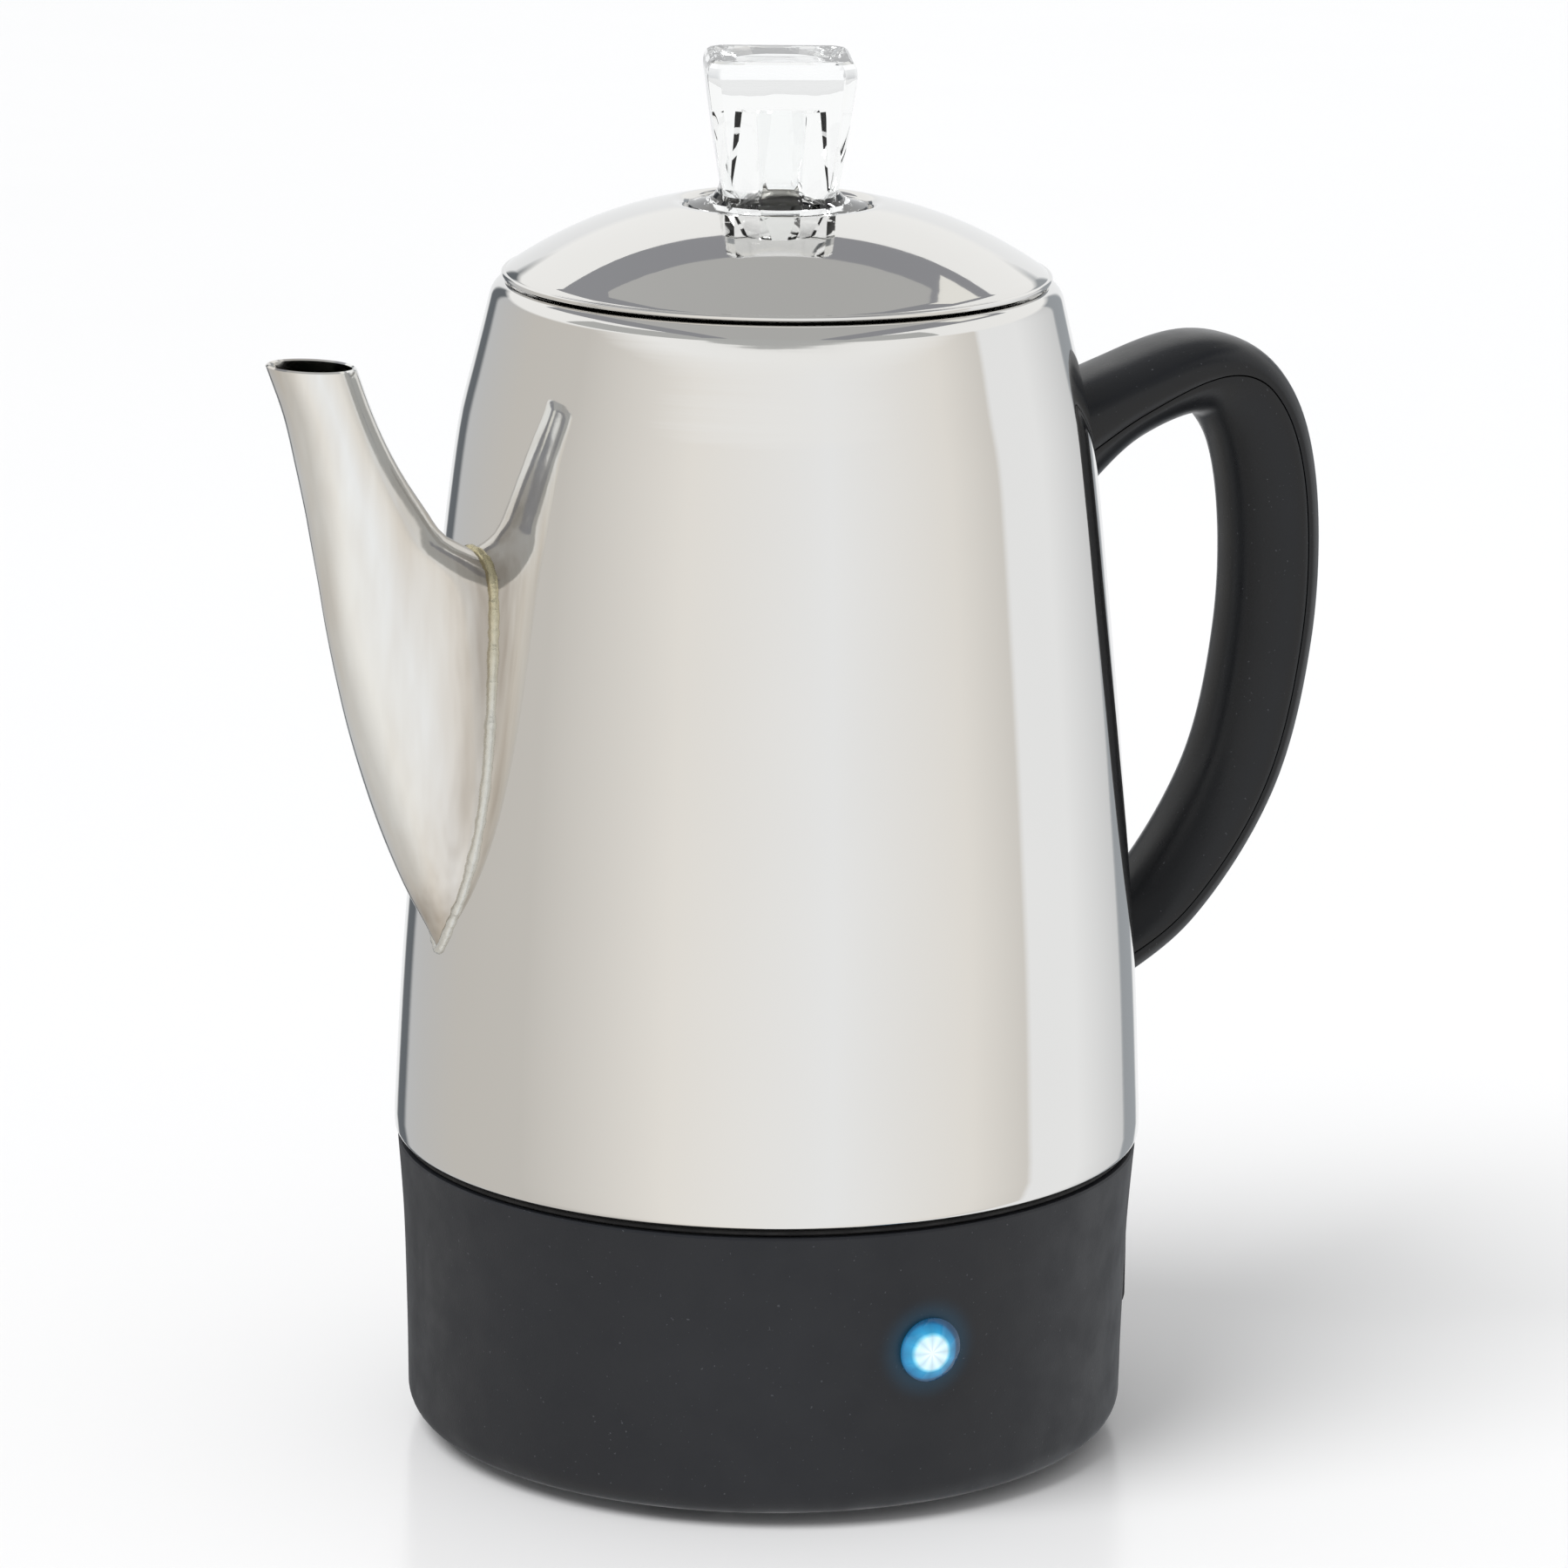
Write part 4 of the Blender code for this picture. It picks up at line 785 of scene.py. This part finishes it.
# ---- Handle -------------------------------------------------------------------------------------------------
HANDLE_POINTS = [(0.0543, 0.1825), (0.0738, 0.1927), (0.0913, 0.1968), (0.1017, 0.1889), (0.1066, 0.1710),
                 (0.1064, 0.1453), (0.0998, 0.1180), (0.0843, 0.0952), (0.0655, 0.0822)]
HANDLE_LINE = [Vector((x, 0, z)) for x, z in HANDLE_POINTS]
HANDLE_THICK = [(0.0, 0.0126), (0.10, 0.0084), (0.20, 0.0077), (0.35, 0.0088), (0.60, 0.0087), (0.80, 0.0079),
                (1.0, 0.0060)]
HANDLE_SEAM = [(0.0, -0.15), (0.12, -0.18), (0.22, 0.0), (0.34, 0.32), (0.75, 0.36), (0.90, 0.25), (1.0, 0.10)]
HANDLE_HALF_WIDTH, HANDLE_WALL, EGG = 0.0118, 0.0026, 0.22
SCREW_HEAD = 0.0014


def handle_frame(share):
    step = 0.004
    low, high = max(0.0, share - step), min(1.0, share + step)
    here, before, after = (curve_at(HANDLE_LINE, s) for s in (share, low, high))
    direction = (after - before).normalized()
    outwards = Vector((-direction.z, 0, direction.x))
    return here, outwards, eased(HANDLE_THICK, share)[0], eased(HANDLE_SEAM, share)[0]


def section_point(thick, half, turn):
    side = math.copysign(abs(math.sin(turn)) ** 0.8, math.sin(turn))
    return thick * math.cos(turn), half * side * (1 + EGG * math.cos(turn)) / (1 + EGG * 0.35)


def handle_half(outer_half):
    """One moulding as a channel, with a small bevel along its seam."""
    stations, count, rings = 120, 31, []
    for k in range(stations):
        point, outwards, thick, seam = handle_frame(k / (stations - 1))
        edge = thick * (seam + (0.017 if outer_half else -0.017))
        ring = []
        for inset, order in ((0.0, 1), (HANDLE_WALL, -1)):
            limit = math.acos(max(-0.95, min(0.95, edge / (thick - inset))))
            for t in [-1 + 2 * i / (count - 1) for i in range(count)][::order]:
                turn = t * limit if outer_half else math.pi + t * (math.pi - limit)
                u, v = section_point(thick - inset, HANDLE_HALF_WIDTH - inset, turn)
                if abs(t) == 1:
                    u = edge
                    v -= math.copysign(0.00030, v) if inset == 0 else 0
                ring.append(point + outwards * u + Vector((0, v, 0)))
        rings.append(ring)
    return loft(rings)


def pan_screw(length, shank_r, head_r, head):
    """A pan-head screw with a crowned head and a cross recess, along +Z from its head's face."""
    crown = [(head_r * s, head * 0.55 * (1 - math.sqrt(max(0.0, 1 - s * s))))
             for s in (0.25, 0.5, 0.7, 0.85, 0.95, 1.0)]
    return lathe([(0, 0), *crown, (head_r, head), (shank_r, head), (shank_r, length - shank_r), (0, length)], 32)


def cross_recess(head_r):
    arms = []
    for turn in (0, math.pi / 2):
        arm = bmesh.new()
        size = Matrix.Diagonal((head_r * 1.15, head_r * 0.26, 0.0016, 1))
        bmesh.ops.create_cube(arm, size=1, matrix=Matrix.Rotation(turn, 4, "Z") @ size)
        arms.append(arm)
    return arms


def make_handle():
    grip = add("handle_grip", handle_half(False), "handle_plastic", stands_for=["handle_inner"],
               smooth_below=45)
    cover = add("handle_cover", handle_half(True), "handle_plastic", stands_for=["handle_outer"],
                smooth_below=45)
    for half in (grip, cover):
        cut(half, envelope(GAP), 45)
    for name, share, moulding, side in (("upper", 0.130, grip, -1), ("lower", 0.905, cover, 1)):
        middle, palm, thick, _ = handle_frame(share)
        out = palm * side
        depth = thick - 0.0006
        place = pointing(-out, middle + out * depth)
        screw = move(pan_screw(depth + 0.003, 0.0017, 0.0034, SCREW_HEAD), place)
        driven = add(f"handle_fixing_{name}", screw, "plated_steel", stands_for=[f"handle_screw_{name}"])
        for arm in cross_recess(0.0034):
            cut(driven, move(arm, place))
        pocket_end = depth - SCREW_HEAD - GAP
        tools = [move(rod(0.0021, 0.020), pointing(-out, middle + out * 0.016)),
                 move(rod(0.0038, 0.010), pointing(-out, middle + out * (pocket_end + 0.010)))]
        for tool in tools:
            cut(moulding, tool, 45)


# ---- Base ---------------------------------------------------------------------------------------------------
HOUSING_LINE = [(0.0080, 0.0681), (0.0200, 0.0683), (0.0400, 0.0689), (0.0480, 0.0694), (0.0566, 0.0701)]


def housing_radius(z):
    return eased(HOUSING_LINE, z)[0]


def make_base():
    low, corner_r = 0.0020, 0.0058
    corner = arc((housing_radius(0.008) - corner_r, low + corner_r), corner_r, -90, 0, 12)
    rise = [0.0080 + (HOUSING_TOP_Z - 0.0004 - 0.0080) * k / 16 for k in range(17)]
    outside = [(BASE_PLATE_R + 0.0010, low), *corner, *[(housing_radius(z), z) for z in rise[1:]],
               (housing_radius(HOUSING_TOP_Z) - 0.0003, HOUSING_TOP_Z)]
    inside = [(housing_radius(z) - HOUSING_WALL, z) for z in (HOUSING_TOP_Z, 0.0400, 0.0200, 0.0090)]
    inside += [(0.0631, 0.0068), (0.0540, 0.0068), (0.0540, 0.0046), (BASE_PLATE_R + 0.0010, 0.0046)]
    housing = add("base_shell", lathe(outside + inside), "base_plastic", stands_for=["base_housing"])
    way = polar(1, LIGHT_TURN)
    cut(housing, move(rod(0.0054, 0.030), pointing(way, polar(0.055, LIGHT_TURN, LAMP_Z))))
    opening = bmesh.new()
    size = Matrix.Diagonal((0.025, 0.0344, 0.0200, 1))
    bmesh.ops.create_cube(opening, size=1, matrix=Matrix.Translation((0.0675, 0, INLET_Z)) @ size)
    cut(housing, opening)
    seal = [(0.0672, 0.0569), (0.0690, 0.0569), (0.0692, 0.0571), (0.0692, 0.0575), (0.0690, 0.0577),
            (0.0672, 0.0577)]
    add("parting_seal", lathe(seal), "black_rubber", stands_for=["base_seal"])


def make_feet():
    profile = [(0, 0), (0.0054, 0), (0.0060, 0.0002), (0.0064, 0.0006), (0.0064, 0.0014), (0.0060, 0.0019),
               (0.0023, 0.0019), (0.0023, 0.0046), (0.0033, 0.0046), (0.0019, 0.0066), (0, 0.0066)]
    for k in range(4):
        at = Matrix.Translation(polar(FOOT_CIRCLE_R, math.radians(45 + 90 * k)))
        add(f"rubber_foot_{k + 1}", move(lathe(profile, 48), at), "black_rubber", stands_for=[f"foot_{k + 1}"])
    for k in range(3):
        place = Matrix.Translation(polar(POST_CIRCLE_R, math.radians(120 * k), 0.0003))
        screw = move(pan_screw(0.0140, 0.0016, 0.0032, 0.0016), place)
        driven = add(f"base_fixing_{k + 1}", screw, "plated_steel", stands_for=[f"base_screw_{k + 1}"])
        for arm in cross_recess(0.0032):
            cut(driven, move(arm, place))


def make_jewel():
    """A faceted lens with eight sides and a flat table."""
    segments, sides = 48, 8
    surface = housing_radius(LAMP_Z) - 0.0002
    way = polar(1, LIGHT_TURN)
    rings = []
    shape = [(0.0050, -0.0068, 1), (0.0050, 0.0002, 1), (0.0058, 0.0004, 1), (0.0060, 0.0007, 1),
             (0.0060, 0.0011, 1), (0.0056, 0.0015, 0.7), (0.0051, 0.0019, 0), (0.0033, 0.0029, 0)]
    for radius, z, soft in shape:
        ring = []
        for k in range(segments):
            angle = 2 * math.pi * k / segments
            off = (angle + math.pi / sides) % (2 * math.pi / sides) - math.pi / sides
            reach = radius * ((1 - soft) * math.cos(math.pi / sides) / math.cos(off) + soft)
            ring.append(polar(reach, angle, z))
        rings.append(ring)
    placed = move(loft(rings), pointing(way, polar(surface, LIGHT_TURN, LAMP_Z)))
    lens = add("light_jewel", placed, "blue_lens", stands_for=["indicator_lens"], smooth_below=12)
    hollow = move(rod(0.0032, 0.0072), pointing(way, polar(surface - 0.0088, LIGHT_TURN, LAMP_Z)))
    cut(lens, hollow, 12)


# ---- Brewing parts ------------------------------------------------------------------------------------------
def make_stem():
    ease = 0.0003
    tube = [(STEM_BORE_R, STEM_BOTTOM_Z), (STEM_R, STEM_BOTTOM_Z), (STEM_R, STEM_TOP_Z - ease),
            (STEM_R - ease, STEM_TOP_Z), (STEM_BORE_R, STEM_TOP_Z)]
    add("riser_tube", lathe(tube, 64), "plain_steel", body="stem", stands_for=["stem_tube"])
    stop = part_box("basket_stop")[1].z
    inner = STEM_R + GAP
    collar = [(inner, stop - 0.0040), (0.0060, stop - 0.0040), (0.0080, stop - 0.0028), (0.0092, stop - 0.0012),
              (0.0095, stop - 0.0006), (0.0095, stop), (inner, stop)]
    add("basket_rest", lathe(collar, 64), "plain_steel", body="stem", stands_for=["basket_stop"])
    foot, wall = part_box("pump_foot")[0].z, 0.0008
    outside = [(0.0040, foot), (0.0118, foot), (0.0120, foot + 0.0002), (0.0120, foot + 0.0050),
               (0.0100, foot + 0.0105), (inner + wall, foot + 0.0140), (inner + wall, foot + 0.0240)]
    inside = [(inner, foot + 0.0240), (inner, foot + 0.0136), (0.0093, foot + 0.0101), (0.0112, foot + 0.0050),
              (0.0112, foot + wall), (0.0040, foot + wall)]
    add("pump_bell", lathe(outside + inside, 64), "plain_steel", body="stem", stands_for=["pump_foot"])
    low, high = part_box("pump_valve")[0].z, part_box("pump_valve")[1].z
    disc = [(0, low), (0.0083, low), (0.0085, low + 0.0002), (0.0085, high - 0.0002), (0.0083, high), (0, high)]
    add("valve_disc", lathe(disc, 64), "plain_steel", body="valve", stands_for=["pump_valve"])


def drilled(target, rings, radius, z):
    """Drills circles of holes through a flat part; rings lists (circle radius, count)."""
    tools = []
    for circle, count in rings:
        for k in range(count):
            at = Matrix.Translation(polar(circle, 2 * math.pi * (k + 0.5) / count, z - 0.003))
            tools.append(move(rod(radius, 0.006, 12), at))
    cut(target, join(tools))


def make_basket():
    floor, top, tube_r = BASKET_FLOOR_Z, BASKET_TOP_Z, BASKET_TUBE_R
    low_r, high_r, bore = 0.0395, BASKET_R, tube_r - SHEET
    profile = [(bore, floor), *arc((low_r - 0.0030, floor + 0.0030), 0.0030, -90, 0, 7), (high_r, top - 0.0012),
               (high_r + 0.0010, top - 0.0010), (high_r + 0.0012, top - 0.0005), (high_r + 0.0009, top),
               (high_r - SHEET + 0.0002, top), (high_r - SHEET, top - 0.0004), (low_r - SHEET, floor + 0.0034),
               (low_r - 0.0034, floor + SHEET), (tube_r + 0.0010, floor + SHEET), (tube_r, floor + 0.0018),
               (tube_r, top - 0.0060), (bore, top - 0.0060)]
    basket = add("grounds_basket", lathe(profile, 96), "aluminium", body="basket", stands_for=["basket"])
    drilled(basket, [(0.0110, 10), (0.0160, 16), (0.0210, 20), (0.0260, 26), (0.0310, 30)], 0.0009, floor)


def make_cover():
    low, bore, rim = BASKET_TOP_Z + GAP, STEM_R + 0.0007, BASKET_R + 0.0006
    profile = [(bore, low + 0.0016), (0.0090, low + 0.0016), (0.0105, low + 0.0010), (0.0120, low),
               (rim - 0.0004, low), (rim, low + 0.0004), (rim, low + 0.0022), (rim - SHEET, low + 0.0022),
               (rim - SHEET, low + SHEET),
               (0.0118, low + SHEET), (0.0090, low + 0.0016 + SHEET), (bore, low + 0.0016 + SHEET)]
    cover = add("spreader", lathe(profile, 96), "aluminium", body="cover", stands_for=["basket_cover"])
    drilled(cover, [(0.0160, 12), (0.0220, 18), (0.0280, 22), (0.0340, 28)], 0.0010, low)


# ---- Studio -------------------------------------------------------------------------------------------------
CAMERA_RISE = math.radians(13.416)
CAMERA_TURN = math.radians(27.5)  # the view is turned this far from the plane of the spout and the handle
CAMERA_ROLL = math.radians(0.735)
CAMERA_DISTANCE = 1.2893
CAMERA_AIM_Z = 0.150
CAMERA_SHIFT = (-0.002487, 0.02490)


def make_camera():
    ahead = Vector((0, math.cos(CAMERA_RISE), -math.sin(CAMERA_RISE)))
    right, up = Vector((1, 0, 0)), Vector((0, math.sin(CAMERA_RISE), math.cos(CAMERA_RISE)))
    place = Vector((0, 0, CAMERA_AIM_Z)) - ahead * CAMERA_DISTANCE
    place -= right * CAMERA_SHIFT[0] + up * CAMERA_SHIFT[1]
    c, s = math.cos(CAMERA_ROLL), math.sin(CAMERA_ROLL)
    columns = (right * c + up * s, up * c - right * s, -ahead)
    turn = Matrix([[column[i] for column in columns] for i in range(3)]).to_4x4()
    data = bpy.data.cameras.new("camera")
    data.lens = 158.0
    data.sensor_width = 36.0
    data.clip_end = 30
    camera = bpy.data.objects.new("camera", data)
    bpy.context.scene.collection.objects.link(camera)
    camera.matrix_world = TO_AXIS @ Matrix.Rotation(-CAMERA_TURN, 4, "Z") @ Matrix.Translation(place) @ turn
    bpy.context.scene.camera = camera


def from_view(turn, distance, height):
    """A place by its bearing from the camera's side of the pot: 0 is towards the camera, 90 to its right."""
    angle = math.radians(-90 + turn) - CAMERA_TURN
    return Vector((AXIS_X + distance * math.cos(angle), distance * math.sin(angle), height))


# The studio as the polished wall shows it: bearing from the camera's side, grey level and tint.
WARM, COOL, SHADE = (0, -3, -8), (0, 1, 2), (0, 4, 8)  # what a tint adds to red, green and blue
STUDIO = [
    (-180, 222, COOL), (-163, 216, COOL),  # the room behind
    (-160, 95, SHADE), (-150, 95, SHADE),  # the gap on the left
    (-146, 180, COOL), (-110, 187, WARM), (-80, 190, WARM),  # the left panel, far off
    (-30, 222, WARM), (20, 228, COOL), (65, 220, WARM), (86, 202, WARM),  # the front panel
    (88, 225, COOL), (110, 225, COOL), (142, 196, COOL),  # the right panel
    (144, 145, SHADE), (160, 145, SHADE),  # the gap on the right
    (163, 222, COOL), (180, 222, COOL),  # the room behind
]
TENT_R = 4.0
BANDS_TOP, PLAIN_FROM = math.radians(15), math.radians(19)  # above the panels the room is plain
REFLECTANCE = 0.80  # of the polished steel
ROOM_Z = 0.225  # the height that the room's directions are measured from


def shows(colour):
    """The light that the polished steel shows as a display colour."""
    return (*[v / REFLECTANCE for v in srgb(*colour)[:3]], 1)


def add_reflector(name, mesh, finish):
    """A stage piece that only glossy reflections see, in the frame of the camera's bearing."""
    made = bpy.data.objects.new(name, mesh)
    bpy.context.scene.collection.objects.link(made)
    made.matrix_world = TO_AXIS @ Matrix.Rotation(-CAMERA_TURN, 4, "Z") @ Matrix.Translation((0, 0, ROOM_Z))
    for ray in ("camera", "diffuse", "transmission", "volume_scatter", "shadow"):
        setattr(made, "visible_" + ray, False)
    mesh.materials.append(finish)


def glow(name, colour):
    """A light-giving material that isn't sampled as a lamp. Returns it and its colour socket."""
    made = bpy.data.materials.new(name)
    made.use_nodes = True
    made.cycles.emission_sampling = "NONE"
    tree = made.node_tree
    tree.nodes.clear()
    emission = tree.nodes.new("ShaderNodeEmission")
    emission.inputs["Color"].default_value = colour
    output = tree.nodes.new("ShaderNodeOutputMaterial")
    tree.links.new(emission.outputs["Emission"], output.inputs["Surface"])
    return made, emission.inputs["Color"]


def make_tent():
    """Panels all round the pot, with their gaps, as a far sphere that is coloured by its bearing."""
    bm = bmesh.new()
    bmesh.ops.create_uvsphere(bm, u_segments=96, v_segments=48, radius=TENT_R)
    mesh = bpy.data.meshes.new("tent")
    bm.to_mesh(mesh)
    bm.free()
    made, colour = glow("tent", shows((220, 220, 220)))
    node = made.node_tree.nodes.new
    link = made.node_tree.links.new
    parts = node("ShaderNodeSeparateXYZ")
    link(node("ShaderNodeTexCoord").outputs["Object"], parts.inputs["Vector"])
    back = node("ShaderNodeMath")
    back.operation = "MULTIPLY"
    back.inputs[1].default_value = -1
    link(parts.outputs["Y"], back.inputs[0])
    bearing = node("ShaderNodeMath")
    bearing.operation = "ARCTAN2"
    link(parts.outputs["X"], bearing.inputs[0])
    link(back.outputs["Value"], bearing.inputs[1])
    share = node("ShaderNodeMapRange")
    share.inputs["From Min"].default_value = -math.pi
    share.inputs["From Max"].default_value = math.pi
    link(bearing.outputs["Value"], share.inputs["Value"])
    band = node("ShaderNodeValToRGB")
    elements = band.color_ramp.elements
    while len(elements) < len(STUDIO):
        elements.new(0.5)
    for element, (angle, grey, tint) in zip(elements, STUDIO):
        element.position = (angle + 180) / 360
        element.color = shows([grey + more for more in tint])
    link(share.outputs["Result"], band.inputs["Fac"])
    rise = node("ShaderNodeMapRange")
    rise.inputs["From Min"].default_value = TENT_R * math.sin(BANDS_TOP)
    rise.inputs["From Max"].default_value = TENT_R * math.sin(PLAIN_FROM)
    link(parts.outputs["Z"], rise.inputs["Value"])
    above = node("ShaderNodeMix")
    above.data_type = "RGBA"
    link(rise.outputs["Result"], above.inputs["Factor"])
    link(band.outputs["Color"], above.inputs["A"])
    above.inputs["B"].default_value = shows((230, 230, 229))
    link(above.outputs["Result"], colour)
    add_reflector("tent", mesh, made)


def make_cards():
    """The grey ceiling with its darker border, a bright card beside it, and the gap over the front panel."""
    flat = [("ceiling", (-0.56, 0.50), (-1.5, 0.68), 1.00, (167, 167, 166)),
            ("ceiling_border", (-0.90, 0.86), (-1.5, 1.10), 1.02, (136, 137, 141)),
            ("ceiling_card", (0.53, 0.74), (0.45, 0.92), 0.99, (222, 221, 216))]
    for name, across, away, height, display in flat:
        corners = [(across[0], away[0]), (across[1], away[0]), (across[1], away[1]), (across[0], away[1])]
        mesh = bpy.data.meshes.new(name)
        mesh.from_pydata([(x * height, y * height, height) for x, y in corners], [], [(0, 1, 2, 3)])
        add_reflector(name, mesh, glow(name, shows(display))[0])
    reach, low, high, steps = 3.0, math.radians(21), math.radians(60), 24
    turns = [math.radians(-96 + (70 + 96) * k / steps) for k in range(steps + 1)]
    places = [(reach * math.sin(t), -reach * math.cos(t), reach * math.tan(rise))
              for rise in (low, high) for t in turns]
    mesh = bpy.data.meshes.new("header")
    mesh.from_pydata(places, [], [(k, k + 1, steps + k + 2, steps + k + 1) for k in range(steps)])
    add_reflector("header", mesh, glow("header", shows((168, 169, 168)))[0])


KEY_BEARING, KEY_HEIGHT = -48, 1.5


def make_studio():
    """White surroundings that are brighter seen through glass, a pale floor and a soft key light."""
    world = bpy.data.worlds.new("studio")
    world.use_nodes = True
    world.node_tree.nodes["Background"].inputs["Color"].default_value = (1, 1, 1, 1)
    through_glass = world.node_tree.nodes.new("ShaderNodeMapRange")
    through_glass.inputs["To Min"].default_value = 0.60
    through_glass.inputs["To Max"].default_value = 0.97
    path = world.node_tree.nodes.new("ShaderNodeLightPath")
    world.node_tree.links.new(path.outputs["Is Transmission Ray"], through_glass.inputs["Value"])
    world.node_tree.links.new(through_glass.outputs["Result"],
                              world.node_tree.nodes["Background"].inputs["Strength"])
    bpy.context.scene.world = world
    floor_mesh = bpy.data.meshes.new("floor")
    reach = 12.0
    corners = [(-reach, -reach, 0), (reach, -reach, 0), (reach, reach, 0), (-reach, reach, 0)]
    floor_mesh.from_pydata(corners, [], [(0, 1, 2, 3)])
    floor = bpy.data.objects.new("floor", floor_mesh)
    bpy.context.scene.collection.objects.link(floor)
    floor.visible_glossy = False
    made = Surface("floor", (0.93, 0.93, 0.935, 1), 0.18, Specular_IOR_Level=0.20)
    made.rough(made.noise(4, 2), 0.16, 0.20)
    floor_mesh.materials.append(made.material)
    sun = bpy.data.lights.new("key", "SUN")
    sun.energy = 1.9
    sun.angle = math.radians(34)
    key = bpy.data.objects.new("key", sun)
    bpy.context.scene.collection.objects.link(key)
    place = from_view(KEY_BEARING, 1.0, KEY_HEIGHT)
    key.matrix_world = pointing(place - Vector((AXIS_X, 0, 0)), place)
    key.visible_glossy = False
    bpy.context.scene.view_settings.view_transform = "Standard"


# ---- Carried-over CAD nodes ---------------------------------------------------------------------------------
def dress_nodes():
    """Every CAD node that still shows takes the node material of its slot."""
    for part in frame["record"]["subparts"]:
        node = frame["nodes"][part["node"]]
        node.data.materials.clear()
        node.data.materials.append(FINISH[part["material_slot"]])


dress_nodes()
make_vessel()
make_spout()
make_bead()
make_lid()
make_knob()
make_handle()
make_base()
make_feet()
make_jewel()
make_stem()
make_basket()
make_cover()
make_camera()
make_tent()
make_cards()
make_studio()
